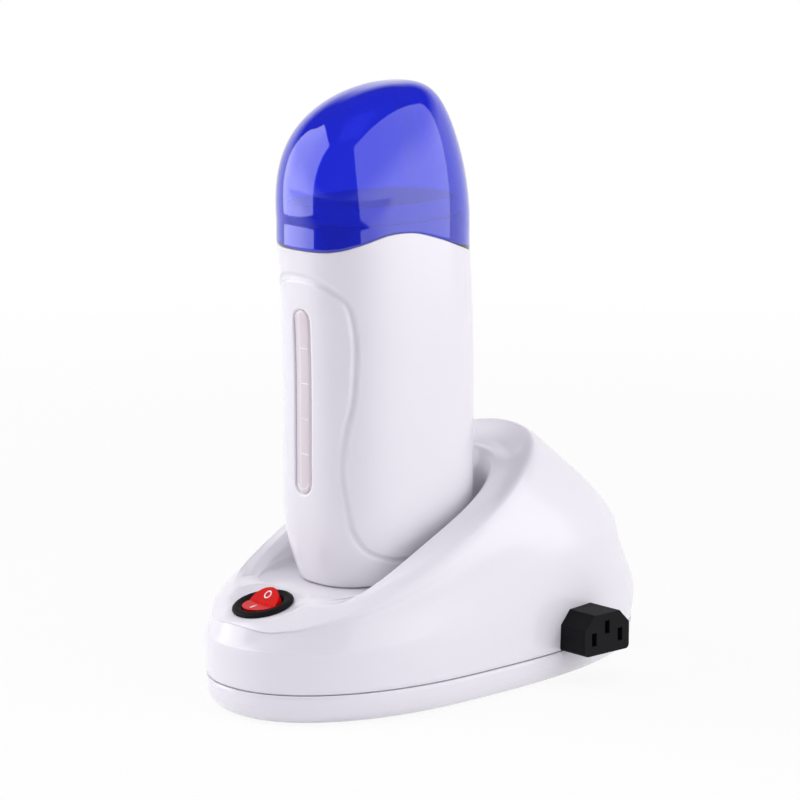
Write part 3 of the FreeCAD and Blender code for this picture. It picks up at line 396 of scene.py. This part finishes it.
# Plastics: name, darker and lighter colour, roughness and its spread, grain size and relief.
SHELL = plastic("glossy_shell", (0.82, 0.815, 0.85), (0.845, 0.84, 0.87), 0.23, 0.03, 900.0, 0.01,
                coat=0.3)
# The collar's colour is lighter and bluer than the shell's. This is painted light, standing in for
# the light that reaches it through the blue cap.
COLLAR = plastic("heatproof_plastic", (0.84, 0.84, 0.90), (0.88, 0.88, 0.94), 0.5, 0.05, 700.0,
                 0.03)
BLACK = plastic("black_satin", (0.006, 0.006, 0.007), (0.012, 0.012, 0.013), 0.55, 0.08, 1400.0,
                0.05, gloss=0.08)
RUBBER = plastic("rubber", (0.010, 0.010, 0.010), (0.018, 0.018, 0.018), 0.75, 0.08, 900.0, 0.08)
RED = plastic("rocker_red", (0.60, 0.004, 0.003), (0.68, 0.006, 0.004), 0.16, 0.02, 800.0, 0.01,
              gloss=0.05)
MARK = plastic("mark_white", (0.88, 0.88, 0.88), (0.93, 0.93, 0.93), 0.4, 0.05, 900.0, 0.01)
CERAMIC = plastic("ceramic", (0.42, 0.38, 0.31), (0.50, 0.46, 0.40), 0.7, 0.08, 500.0, 0.05)
ALUMINIUM = metal("drawn_aluminium", (0.58, 0.59, 0.60), (0.72, 0.73, 0.74), 0.34)
STEEL = metal("plated_steel", (0.42, 0.43, 0.44), (0.58, 0.59, 0.60), 0.32)
BRASS = metal("brass", (0.55, 0.38, 0.13), (0.72, 0.52, 0.22), 0.3)
CAP_BLUE = clear_plastic("cap_blue", (0.35, 0.40, 0.93), 0.05, coat=0.7)
absorb(CAP_BLUE, (0.06, 0.177, 0.918), 500.0)
WINDOW = clear_plastic("window_clear", (0.95, 0.89, 0.92), 0.22, 0.2)
# Painted shade along the strip's -X edge and a painted highlight line, set into the pane's colour.
window_painted_shade_and_highlight(WINDOW)
LAMP = clear_plastic("lamp_glass", (1.0, 0.6, 0.4), 0.05)


# ================================================================ base
def crest_z(y):
    """Height of the ridge."""
    return bend(y, CREST_START_Y, CREST_LOW_Z, CREST_RISE, CREST_BACK, CREST_HIGH_Z, CREST_FALL)


def rim_z(y):
    """Height of the well's rim, which starts on the plateau."""
    return bend(y, RISE_Y, DOCK_Z + RIM_LIP, RIM_RISE, RIM_BACK, RIM_HIGH_Z, RIM_FALL)


def seam_oval(inset):
    """Outline at the seam between housing and cover."""
    inset = WALL_TUCK + inset
    return oval(WALL_HALF - inset, NOSE_Y + inset, TAIL_Y - inset, WIDEST_Y, NOSE_POWER, WALL_POWER)


def wall_ring(drop, start, end):
    """Outer wall a drop below its top corner, rising from start at the nose to end at the tail."""
    points = oval(WALL_HALF - CORNER_INSET + DRAFT_SIDE * drop,
                  NOSE_Y + CORNER_NOSE_INSET - DRAFT_NOSE * drop, CORNER_Y + DRAFT_TAIL * drop,
                  WIDEST_Y, NOSE_POWER, CORNER_POWER)
    return lift(points, lambda y: start + (end - start) * smooth(y, NOSE_Y, CORNER_Y))


def crest_oval(grow=0.0, tail=0.0):
    """Outline of the ridge, wider by grow and longer at the tail."""
    return oval(CREST_HALF + grow, CREST_FRONT - grow, CREST_BACK + tail, WIDEST_Y,
                NOSE_POWER, CREST_POWER)


def rim_oval(grow=0.0):
    """Outline of the well's rim, wider by grow."""
    return oval(RIM_HALF + grow, RIM_FRONT - grow, RIM_BACK + grow, RIM_MIDDLE,
                WELL_POWER, CREST_POWER)


def inner_rise(share):
    """Height of a ring inside the well, at a share of the way from its floor to its rim."""
    return lambda y: DOCK_Z + 0.02 + share * (rim_z(y) - DOCK_Z - RIM_LIP)


def shoulder_z(y):
    """Just under the ridge: close to it at the nose, lower along the sides and the tail."""
    return crest_z(y) - 1.3 - 2.7 * smooth(y, CREST_START_Y, -40.0)


def mixed(one, two, share):
    """Part of the way from one ring to another; the share may differ from point to point."""
    return one + np.reshape(share, (-1, 1)) * (two - one)


def housing_rings():
    """Skin of the housing; a corner is drawn by two rings close to it, one on each side."""
    bulge = lift(oval(WALL_HALF, NOSE_Y, TAIL_Y, WIDEST_Y, NOSE_POWER, WALL_POWER), BULGE_Z)
    low_wall = wall_ring(LOW_WALL_DROP, LOW_WALL_NOSE_Z, CORNER_Z - LOW_WALL_DROP)
    corner = wall_ring(0.0, CORNER_NOSE_Z, CORNER_Z)
    shoulder = lift(crest_oval(2.0, 5.0), shoulder_z)
    crest = lift(crest_oval(), crest_z)
    band = lift(0.5 * (crest_oval() + rim_oval()),
                lambda y: 0.5 * (crest_z(y) + rim_z(y)) - BAND_DISH * smooth(y, -50.0, 10.0))
    rim = lift(rim_oval(), lambda y: rim_z(y) - 0.9 + 0.5 * smooth(y, RISE_Y, -30.0))
    nose = 1.0 - smooth(crest[:, 1], -70.0, 10.0)
    corner = mixed(corner, mixed(low_wall, shoulder, 0.5), 0.9 * nose)
    foot = oval(FOOT_HALF, FOOT_FRONT, FOOT_BACK, RIM_MIDDLE, WELL_POWER, FOOT_POWER)
    rings = [
        lift(seam_oval(3.0), SEAM_Z + 0.1),
        lift(seam_oval(0.5), SEAM_Z),
        lift(seam_oval(0.0), SEAM_Z + 0.5),
        bulge,
        low_wall,
        mixed(corner, low_wall, 0.3),
        mixed(corner, shoulder, 0.13),
        mixed(shoulder, corner, 0.25),
        mixed(crest, shoulder, 0.35 + 0.4 * nose),
        mixed(crest, band, 0.15 + 0.35 * nose),
        band,
        mixed(rim, band, 0.3),
        mixed(rim, band, 0.08),
        lift(rim_oval(-1.2), lambda y: np.maximum(rim_z(y) - 1.9, DOCK_Z + 0.025)),
        lift(mixed(rim_oval(-2.0), foot, 0.45), inner_rise(0.42)),
        lift(foot, inner_rise(0.03)),
        lift(mixed(foot, rim_oval(-12.0), 0.3), DOCK_Z),
    ]
    steps = [1, 2, 8, 9, 5, 3, 10, 4, 4, 6, 6, 3, 3, 8, 8, 3]
    return between(rings, steps, sharp=(1, 2))


def switch_seat():
    """Centre of the switch on the plateau, straight over the rocker's pivot, and its slope."""
    slope = math.radians(SWITCH_SLOPE)
    centre = Vector((0.0, PIVOT_Y - PIVOT_DEPTH * math.sin(slope),
                     PIVOT_Z + PIVOT_DEPTH * math.cos(slope)))
    return centre, slope


def seat_on_plateau(rings, centre, slope):
    """Flatten the skin under the switch's bezel."""
    normal = np.array([0.0, -math.sin(slope), math.cos(slope)])
    out = []
    for ring in rings:
        offset = ring - np.array(centre)
        height = offset @ normal
        flat = offset - np.outer(height, normal)
        radius = np.linalg.norm(flat, axis=1)
        weight = (1.0 - smooth(radius, SEAT_RADIUS, SEAT_BLEND)) * (np.abs(height) < SEAT_REACH)
        out.append(ring - np.outer(weight * (height + SEAT_DEPTH), normal))
    return out


def cut_inlet_hole(thing):
    """Open the wall inside the inlet's shell."""
    low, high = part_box("inlet_shell")
    wall, flange = INLET_WALL * MM, INLET_FLANGE * MM
    front, back = low.y + flange + wall, high.y - flange - wall
    bottom, top = low.z + wall, high.z - wall
    along_y, along_z = Vector((0, 1, 0)), Vector((0, 0, 1))
    work = bmesh.new()
    work.from_mesh(thing.data)
    for normal, place in ((along_y, front), (along_y, back), (along_z, bottom), (along_z, top)):
        near = [f for f in work.faces if f.calc_center_median().x < INLET_SIDE_X * MM]
        edges, corners = {e for f in near for e in f.edges}, {v for f in near for v in f.verts}
        bmesh.ops.bisect_plane(work, geom=near + list(edges) + list(corners),
                               plane_co=normal * place, plane_no=normal)
    inside = []
    for face in work.faces:
        c = face.calc_center_median()
        if c.x < INLET_SIDE_X * MM and front < c.y < back and bottom < c.z < top:
            inside.append(face)
    bmesh.ops.delete(work, geom=inside, context="FACES")
    work.to_mesh(thing.data)
    work.free()


def cut_switch_hole(thing, centre):
    """Open the plateau under the switch; its bezel covers the hole's edge."""
    work = bmesh.new()
    work.from_mesh(thing.data)
    inside = [f for f in work.faces
              if (f.calc_center_median() - centre * MM).length < SWITCH_HOLE * MM]
    bmesh.ops.delete(work, geom=inside, context="FACES")
    work.to_mesh(thing.data)
    work.free()


def build_base():
    """The housing's skin, and the rounded edge of the cover under the seam."""
    centre, slope = switch_seat()
    shell = skin("housing_shell", seat_on_plateau(housing_rings(), centre, slope), close_end=True)
    cut_inlet_hole(shell)
    cut_switch_hole(shell, centre)
    paint(shell, SHELL)
    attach(shell, "base")
    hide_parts("base_housing")
    cover_top = SEAM_Z - SEAM_GAP
    profile = [(3.0, cover_top - 0.1), (0.5, cover_top), (0.0, cover_top - 0.5), (0.35, 7.4),
               (1.8, 3.5), (4.6, 0.9), (7.0, 0.12), (8.4, 0.0), (11.6, 0.0), (11.7, 0.8),
               (13.0, 0.8)]
    rings = [lift(seam_oval(inset), z) for inset, z in profile]
    edge = skin("cover_edge", between(rings, [1, 2, 3, 4, 4, 3, 2, 1, 1, 1], sharp=(1, 2, 8, 9)))
    paint(edge, SHELL)
    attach(edge, "base")


# ================================================================ hand-held heater
def handset_section(z, inset=0.0, count=AROUND):
    """Superellipse of the handset at a height, bent forwards in its upper part."""
    fall = float(np.clip((FULL_Z - z) / (FULL_Z - BOTTOM_Z), 0.0, 1.0))
    up = float(np.clip((z - LEAN_LOW) / (LEAN_HIGH - LEAN_LOW), 0.0, 1.0))
    draw = inset + BOTTOM_INSET * fall * fall
    depth, middle = HANDSET_DEPTH - draw, HANDSET_Y - LEAN * up * up
    return oval(HANDSET_HALF - draw, middle - depth, middle + depth, middle,
                HANDSET_POWER, HANDSET_POWER, count)


def cap_edge_z(y):
    """Height of the wavy line under the cap."""
    line = curve_points(CAP_EDGE)
    return np.interp(y, line[:, 0], line[:, 1])


def press_in(rings):
    """Sink the groove round the front cover and the window's slot into the skin."""
    line = curve_points(COVER_EDGE)
    out = []
    for ring in rings:
        middle = np.array([0.0, HANDSET_Y, 0.0])
        outwards = ring - middle
        outwards[:, 2] = 0.0
        around = np.roll(ring, -1, axis=0) - np.roll(ring, 1, axis=0)
        normal = np.cross(around, [0.0, 0.0, 1.0])
        normal /= np.linalg.norm(normal, axis=1)[:, None]
        normal *= np.sign((normal * outwards).sum(axis=1))[:, None]
        side = -side_of_curve(ring[:, 1], ring[:, 2], line)
        groove = smooth(side, 0.0, GROOVE_EDGE)
        groove = groove * (1.0 - smooth(side, GROOVE_WIDTH - GROOVE_EDGE, GROOVE_WIDTH))
        reach = np.clip(ring[:, 2], WINDOW_LOW + WINDOW_HALF, WINDOW_HIGH - WINDOW_HALF)
        past_edge = np.hypot(ring[:, 0], ring[:, 2] - reach) - WINDOW_HALF
        on_front = ring[:, 1] < HANDSET_Y - 20.0
        slot = (1.0 - smooth(past_edge, -0.5, 0.1)) * on_front
        out.append(ring - normal * (GROOVE_DEPTH * groove + WINDOW_DEPTH * slot)[:, None])
    return out


def handset_rings():
    """The skin from the handset's bottom to the wavy edge under the cap, then down inside."""
    rings = [lift(handset_section(BOTTOM_Z, 2.0), BOTTOM_Z),
             lift(handset_section(BOTTOM_Z, 0.5), BOTTOM_Z)]
    for z in np.linspace(BOTTOM_Z, ROWS_TOP_Z, LEVEL_ROWS):
        rings.append(lift(handset_section(z, 0.35 * (1.0 - min((z - BOTTOM_Z) / 0.7, 1.0))), z))
    top = handset_section(LEAN_HIGH)
    crown = cap_edge_z(top[:, 1])
    for share in np.linspace(0.0, 1.0, BENT_ROWS)[1:]:
        z = ROWS_TOP_Z + (crown - 0.3 - ROWS_TOP_Z) * share
        bent = np.clip((z - LEAN_LOW) / (LEAN_HIGH - LEAN_LOW), 0.0, 1.0)
        ring = np.column_stack([top, z])
        ring[:, 1] += LEAN * (1.0 - bent ** 2)
        rings.append(ring)
    rings = press_in(rings)
    for inset, drop in ((0.12, 0.1), (0.4, 0.0), (SHELL_WALL - 0.3, 0.0), (SHELL_WALL, 0.3)):
        rings.append(np.column_stack([handset_section(LEAN_HIGH, inset), crown - drop]))
    rings.append(lift(handset_section(LEAN_HIGH, SHELL_WALL), DECK_TOP))
    return rings


def cap_outline(inset):
    """Outline of the cap's skirt, or of what stands inside it."""
    return oval(CAP_HALF - inset, CAP_Y - CAP_DEPTH + inset, CAP_Y + CAP_DEPTH - inset, CAP_Y,
                HANDSET_POWER, HANDSET_POWER)


def build_handset():
    """The shell, the deck round the chamber and the spigot that the cap pushes on to."""
    shell = skin("handset_shell", handset_rings(), close_start=True)
    chamber = oval(CHAMBER_HALF, CHAMBER_Y - CHAMBER_DEPTH, CHAMBER_Y + CHAMBER_DEPTH, CHAMBER_Y,
                   CHAMBER_POWER, CHAMBER_POWER)
    deck = skin("handset_deck", [lift(handset_section(LEAN_HIGH, SHELL_WALL), DECK_TOP),
                                 lift(chamber, DECK_TOP), lift(chamber, DECK_TOP - DECK_THICKNESS)])
    step = CAP_WALL + SPIGOT_GAP
    profile = [(step, DECK_TOP), (step, SPIGOT_TOP - SPIGOT_EDGE), (step + SPIGOT_EDGE, SPIGOT_TOP),
               (step + SPIGOT_WALL - SPIGOT_EDGE, SPIGOT_TOP),
               (step + SPIGOT_WALL, SPIGOT_TOP - SPIGOT_EDGE), (step + SPIGOT_WALL, DECK_TOP)]
    spigot = skin("handset_spigot", [lift(cap_outline(inset), z) for inset, z in profile])
    for piece in (shell, deck, spigot):
        paint(piece, SHELL)
        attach(piece, "handset")
    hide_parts("handset_body", "handset_front_cover")


def front_y(x, z, inset):
    """Y of the handset's front at a place, that far inside its skin."""
    points = handset_section(z, inset, FINE_AROUND)
    front = points[points[:, 1] < HANDSET_Y]
    order = np.argsort(front[:, 0])
    return float(np.interp(x, front[order, 0], front[order, 1]))


def pane_depth(x, z):
    """How far the pane's inner face lies under the handset's skin: more along its edges."""
    half = WINDOW_HALF - PANE_GAP
    drop = max(WINDOW_LOW + WINDOW_HALF - z, z - (WINDOW_HIGH - WINDOW_HALF), 0.0)
    edge = 1.0 - float(smooth(half - math.hypot(x, drop), 0.0, PANE_ROUND))
    return PANE_SINK + PANE_EDGE_SINK * edge


def pane_mark(name, places):
    """A fine raised line on the pane, through (x, z) places."""
    (last_x, last_z), (end_x, end_z) = places[-2:]
    beyond = (2 * end_x - last_x, 2 * end_z - last_z)
    strip = []
    for (x, z), (next_x, next_z) in zip(places, places[1:] + [beyond]):
        across = Vector((z - next_z, next_x - x)).normalized() * LINE_HALF
        y = front_y(x, z, pane_depth(x, z) - LINE_RISE)
        strip += [(x - across.x, y, z - across.y), (x + across.x, y, z + across.y)]
    faces = [(2 * i, 2 * i + 2, 2 * i + 3, 2 * i + 1) for i in range(len(places) - 1)]
    mark = mesh_object(name, strip, faces)
    thicken(mark, "thickness", LINE_THICKNESS)
    paint(mark, MARK)
    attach(mark, "handset")


def build_window():
    """Clear strip in the slot, with plain graduation marks."""
    half = WINDOW_HALF - PANE_GAP
    rows, columns = PANE_ROWS, PANE_COLUMNS
    vertices, faces = [], []
    low, high = WINDOW_LOW + PANE_GAP, WINDOW_HIGH - PANE_GAP
    for r in range(rows + 1):
        z = low + (high - low) * 0.5 * (1.0 - math.cos(math.pi * r / rows))
        drop = max(low + half - z, z - (high - half), 0.0)
        wide = math.sqrt(max(half * half - drop * drop, 0.0)) + 0.02
        for c in range(columns + 1):
            x = wide * (2.0 * c / columns - 1.0)
            vertices.append((x, front_y(x, z, pane_depth(x, z)), z))
    for r in range(rows):
        for c in range(columns):
            i = r * (columns + 1) + c
            faces.append((i, i + 1, i + columns + 2, i + columns + 1))
    pane = mesh_object("window_pane", vertices, faces)
    tidy_normals(pane)
    paint(pane, WINDOW)
    thicken(pane, "thickness", PANE_THICKNESS).offset = 1.0
    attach(pane, "handset")
    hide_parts("window_lens")
    for z in GRADUATIONS:
        pane_mark("graduation_%d" % z, [(x, z) for x in np.linspace(-1.0, 3.5, 12).tolist()])
    middle = WINDOW_LOW + WINDOW_HALF + 0.6
    pane_mark("end_line", [(END_LINE_RADIUS * math.sin(a), middle - END_LINE_RADIUS * math.cos(a))
                           for a in np.linspace(-1.2, 1.3, 16)])


# ================================================================ cap
def build_cap():
    """Open dome over a straight skirt that ends in the wavy edge."""
    outline = cap_outline(0.0)
    edge = cap_edge_z(outline[:, 1]) + CAP_GAP
    rings = [np.column_stack([outline, edge + (DOME_Z - edge) * share])
             for share in np.linspace(0.0, 1.0, SKIRT_ROWS)]
    centre = np.array([0.0, CAP_Y])
    for angle in np.linspace(0.0, math.pi / 2, DOME_ROWS)[1:-1]:
        share = math.sin(angle) ** 1.25
        size = max(1.0 - share ** DOME_POWER, 0.0) ** (1.0 / DOME_POWER)
        lean = LEAN_BACK * share ** 5 - LEAN_FORWARD * math.sin(math.pi * share)
        points = centre + (outline - centre) * size + np.array([0.0, lean])
        rings.append(lift(points, DOME_Z + (CAP_TOP - DOME_Z) * share))
    shell = skin("cap_shell", rings, close_end=True)
    thicken(shell, "wall", CAP_WALL).offset = -1.0
    paint(shell, CAP_BLUE)
    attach(shell, "cap")
    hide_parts("cap")


# ================================================================ switch
def turned(profile):
    """Rings (x, y, z) round the z axis through the (radius, z) points of a profile."""
    angle = np.linspace(0.0, 2.0 * math.pi, SWITCH_AROUND + 1)[:-1]
    circle = np.column_stack([np.sin(angle), -np.cos(angle)])
    return [lift(r * circle, z) for r, z in profile]


def build_switch_housing():
    """Round bezel with a soft edge, the opening for the rocker and the barrel below."""
    centre, slope = switch_seat()
    rings = turned([(10.9, -14.9), (10.9, -0.1), (11.3, -0.1), (11.75, 0.1), (11.9, 0.5),
                    (11.8, 1.0), (11.3, 1.5), (10.6, 1.75), (10.0, 1.8)])
    for grow, z in ((1.2, 1.6), (0.25, 1.1), (0.0, 0.8), (0.0, BARREL_END)):
        rings.append(lift(oval(OPENING_HALF + grow, -OPENING_LENGTH - grow, OPENING_LENGTH + grow,
                               0.0, 2.0, 2.0, SWITCH_AROUND), z))
    thing = skin("switch_bezel", rings, close_start=True, close_end=True)
    place = Matrix.Translation(centre * MM) @ Matrix.Rotation(slope, 4, "X")
    thing.data.transform(place)
    tidy_normals(thing)
    paint(thing, BLACK)
    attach(thing, "base")
    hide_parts("switch_housing")


def build_rocker():
    """The solid's rocker, fitted to the opening and turned round its pivot to the slope here."""
    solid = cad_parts["switch_rocker"]
    rocker = bpy.data.objects.new("rocker_key", solid.data.copy())
    rocker.matrix_world = solid.matrix_world
    bpy.context.scene.collection.objects.link(rocker)
    pivot = Vector((0.0, PIVOT_Y, PIVOT_Z)) * MM
    turn = Matrix.Rotation(math.radians(SWITCH_SLOPE - SOLID_SLOPE), 4, "X")
    rocker.data.transform(Matrix.Translation(pivot) @ turn @ Matrix.Scale(ROCKER_SHARE, 4)
                          @ Matrix.Translation(-pivot))
    paint(rocker, RED)
    soft_edges(rocker, 0.35)
    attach(rocker, "switch_rocker")
    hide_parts("switch_rocker")


def build_switch_marks():
    """The generic I and O on the rocker's two faces."""
    centre, slope = switch_seat()
    place = Matrix.Translation(centre) @ Matrix.Rotation(slope, 4, "X")
    turn = Matrix.Rotation(math.radians(ROCKER_TILT), 4, "X")
    tilt = Matrix.Translation((0, 0, -PIVOT_DEPTH)) @ turn
    tilt = tilt @ Matrix.Scale(ROCKER_SHARE, 4) @ Matrix.Translation((0, 0, PIVOT_DEPTH))
    rise = (ROCKER_TIP - ROCKER_VALLEY) / ROCKER_REACH

    def on_rocker(x, y):
        """A place just over the crown of the rocker's faces."""
        return place @ tilt @ Vector((x, y, ROCKER_VALLEY + rise * abs(y) + MARK_LIFT))

    bar = [on_rocker(x, -y) for x, y in ((-BAR_HALF, BAR_FAR), (BAR_HALF, BAR_FAR),
                                         (BAR_HALF, BAR_NEAR), (-BAR_HALF, BAR_NEAR))]
    mark_i = mesh_object("mark_on", bar, [(0, 1, 2, 3)])
    vertices, faces = [], []
    for i in range(RING_POINTS):
        a = 2.0 * math.pi * i / RING_POINTS
        for r in (RING_INNER, RING_OUTER):
            vertices.append(on_rocker(r * math.cos(a), RING_Y + r * math.sin(a)))
        j = (i + 1) % RING_POINTS
        faces.append((2 * i, 2 * i + 1, 2 * j + 1, 2 * j))
    mark_o = mesh_object("mark_off", vertices, faces)
    for mark in (mark_i, mark_o):
        thicken(mark, "thickness", MARK_THICKNESS)
        paint(mark, MARK)
        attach(mark, "switch_rocker")


# ================================================================ carried-over CAD nodes
def dress_cad_nodes():
    """Material of each CAD node that the scene keeps, and the rounding of its edges."""
    looks = {
        "base_cover": (SHELL, 0.0), "rubber_feet": (RUBBER, 0.4), "base_screws": (STEEL, 0.15),
        "switch_lamp": (LAMP, 0.2), "switch_terminals": (BRASS, 0.1),
        "outlet_block": (BLACK, 0.45), "outlet_contacts": (BRASS, 0.1),
        "inlet_shell": (BLACK, 0.4), "inlet_pins": (BRASS, 0.3),
        "dock_connector": (BLACK, 0.4), "dock_pins": (BRASS, 0.4),
        "handset_screws": (STEEL, 0.15), "cartridge_chamber": (ALUMINIUM, 0.2),
        "cartridge_collar": (COLLAR, 0.5), "heater_plates": (CERAMIC, 0.2),
        "heater_clips": (STEEL, 0.1), "thermostat": (STEEL, 0.3), "thermal_fuse": (BRASS, 0.2),
        "handset_socket": (BLACK, 0.3), "handset_contacts": (BRASS, 0.1),
    }
    for name, (material, radius) in looks.items():
        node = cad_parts[name]
        paint(node, material)
        if radius:
            soft_edges(node, radius)
        else:
            shade_smooth(node.data)


# ================================================================ camera, light and floor
# Azimuth 0 looks along +Y and grows towards +X; it and the elevation are in degrees.
AIM = Vector((-65.52, 52.0, 93.6)) * MM
AZIMUTH, ELEVATION, DISTANCE, LENS = 48.0, 11.2, 1560.0, 171.45
LAMP_AIM = Vector((0.0, 0.0, 0.11))
LAMP_COLOUR = (1.0, 0.995, 0.965)
# Soft boxes: azimuth, elevation, distance, width, height, power and whether they are mirrored.
PANELS = (("right", 112.0, 18.0, 0.8, 1.35, 1.4, 7.6, True),
          ("left", -43.0, 17.0, 0.85, 0.8, 1.3, 7.4, True),
          ("top", 40.0, 80.0, 1.4, 0.9, 0.9, 4.0, False))
WORLD_LIGHT, WORLD_STRENGTH = (0.82, 0.74, 1.0, 1.0), 0.34
# Azimuth and elevation of the studio's dark part, in the world and on the floor.
WORLD_FRONT, FLOOR_FRONT, DARK = (35.0, 70.0), (30.0, 0.0), 0.05
FLOOR_REACH, FLOOR_Z = 6000.0, -0.05


def looking_back(azimuth, elevation):
    """Direction from the object towards an azimuth and elevation."""
    a, e = math.radians(azimuth), math.radians(elevation)
    return Vector((math.sin(a) * math.cos(e), -math.cos(a) * math.cos(e), math.sin(e)))


def add_camera():
    """The camera at the photograph's angle."""
    data = bpy.data.cameras.new("camera")
    data.sensor_width = 36.0
    data.lens = LENS
    data.clip_start, data.clip_end = 0.05, 20.0
    camera = bpy.data.objects.new("camera", data)
    back = looking_back(AZIMUTH, ELEVATION)
    camera.location = AIM + back * DISTANCE * MM
    camera.rotation_mode = "QUATERNION"
    camera.rotation_quaternion = (-back).to_track_quat("-Z", "Y")
    bpy.context.scene.collection.objects.link(camera)
    bpy.context.scene.camera = camera


def add_panel(name, azimuth, elevation, distance, width, height, power, mirrored):
    """A soft box that looks at the object."""
    data = bpy.data.lights.new(name, "AREA")
    data.shape = "RECTANGLE"
    data.size, data.size_y = width, height
    data.energy = power
    data.color = LAMP_COLOUR
    panel = bpy.data.objects.new(name, data)
    back = looking_back(azimuth, elevation)
    panel.location = LAMP_AIM + back * distance
    panel.rotation_mode = "QUATERNION"
    panel.rotation_quaternion = back.to_track_quat("Z", "Y")
    panel.visible_camera = False
    panel.visible_glossy = mirrored
    bpy.context.scene.collection.objects.link(panel)


def math_node(tree, operation, one, two):
    """The result of an operation on two sockets."""
    node = tree.nodes.new("ShaderNodeMath")
    node.operation = operation
    tree.links.new(one, node.inputs[0])
    tree.links.new(two, node.inputs[1])
    return node.outputs["Value"]


def fading(tree, value, start, end, high, low):
    """High up to the start, low from the end on."""
    fade = tree.nodes.new("ShaderNodeMapRange")
    for name, number in (("From Min", start), ("From Max", end), ("To Min", high), ("To Max", low)):
        fade.inputs[name].default_value = number
    tree.links.new(value, fade.inputs["Value"])
    return fade.outputs["Result"]


def along(tree, source, direction):
    """How far a place or a direction lies towards the front of the studio."""
    place, facing = tree.nodes.new("ShaderNodeTexCoord"), tree.nodes.new("ShaderNodeVectorMath")
    facing.operation = "DOT_PRODUCT"
    facing.inputs[1].default_value = direction
    tree.links.new(place.outputs[source], facing.inputs[0])
    return facing.outputs["Value"]


def direct_rays(tree):
    """1 for what is seen directly or through clear plastic."""
    path = tree.nodes.new("ShaderNodeLightPath")
    return math_node(tree, "MAXIMUM", path.outputs["Is Camera Ray"],
                     path.outputs["Is Transmission Ray"])


def seen_rays(tree):
    """1 for what is seen directly, through clear plastic or in a reflection, and 0 for light."""
    path = tree.nodes.new("ShaderNodeLightPath")
    return math_node(tree, "MAXIMUM", direct_rays(tree), path.outputs["Is Glossy Ray"])


def add_world():
    """White where it is seen, dark in front where it is mirrored, and softer as a light."""
    world = bpy.data.worlds.new("studio")
    world.use_nodes = True
    tree = world.node_tree
    tree.nodes.clear()
    out = tree.nodes.new("ShaderNodeOutputWorld")
    mix = tree.nodes.new("ShaderNodeMixShader")
    seen, light = tree.nodes.new("ShaderNodeBackground"), tree.nodes.new("ShaderNodeBackground")
    seen.inputs["Color"].default_value = (1.0, 1.0, 1.0, 1.0)
    light.inputs["Color"].default_value = WORLD_LIGHT
    light.inputs["Strength"].default_value = WORLD_STRENGTH
    front = along(tree, "Generated", looking_back(*WORLD_FRONT))
    dark_front = fading(tree, front, start=0.1, end=0.35, high=1.0, low=DARK)
    strength = math_node(tree, "MAXIMUM", direct_rays(tree), dark_front)
    tree.links.new(strength, seen.inputs["Strength"])
    tree.links.new(seen_rays(tree), mix.inputs["Fac"])
    tree.links.new(light.outputs["Background"], mix.inputs[1])
    tree.links.new(seen.outputs["Background"], mix.inputs[2])
    tree.links.new(mix.outputs["Shader"], out.inputs["Surface"])
    bpy.context.scene.world = world


def add_floor():
    """A plain pale floor under the feet; where it is mirrored, it is dark in front."""
    corners = [(x * FLOOR_REACH, y * FLOOR_REACH, FLOOR_Z)
               for x, y in ((-1, -1), (1, -1), (1, 1), (-1, 1))]
    floor = mesh_object("floor", corners, [(0, 1, 2, 3)])
    material, tree, shader = new_material("floor_paper")
    tint(tree, noise(tree, scale=2.0), (0.93, 0.93, 0.935), (0.95, 0.95, 0.955),
         shader.inputs["Base Color"])
    shader.inputs["Roughness"].default_value = 0.9
    white, blend = tree.nodes.new("ShaderNodeEmission"), tree.nodes.new("ShaderNodeMixShader")
    place, ball = tree.nodes.new("ShaderNodeTexCoord"), tree.nodes.new("ShaderNodeTexGradient")
    ball.gradient_type = "SPHERICAL"
    tree.links.new(place.outputs["Object"], ball.inputs["Vector"])
    near = fading(tree, ball.outputs["Fac"], start=0.1, end=0.7, high=1.0, low=0.9)
    front = along(tree, "Object", looking_back(*FLOOR_FRONT))
    dark_front = fading(tree, front, start=0.2, end=0.6, high=1.0, low=DARK)
    strength = math_node(tree, "MAXIMUM", direct_rays(tree), dark_front)
    tree.links.new(strength, white.inputs["Strength"])
    share = math_node(tree, "MULTIPLY", seen_rays(tree), near)
    tree.links.new(share, blend.inputs["Fac"])
    tree.links.new(shader.outputs["BSDF"], blend.inputs[1])
    tree.links.new(white.outputs["Emission"], blend.inputs[2])
    tree.links.new(blend.outputs["Shader"], tree.nodes["Material Output"].inputs["Surface"])
    paint(floor, material)


build_base()
build_handset()
build_window()
build_cap()
build_switch_housing()
build_rocker()
build_switch_marks()
dress_cad_nodes()
add_camera()
add_world()
add_floor()
for panel_settings in PANELS:
    add_panel(*panel_settings)

scene = bpy.context.scene
scene.view_settings.view_transform = "Standard"
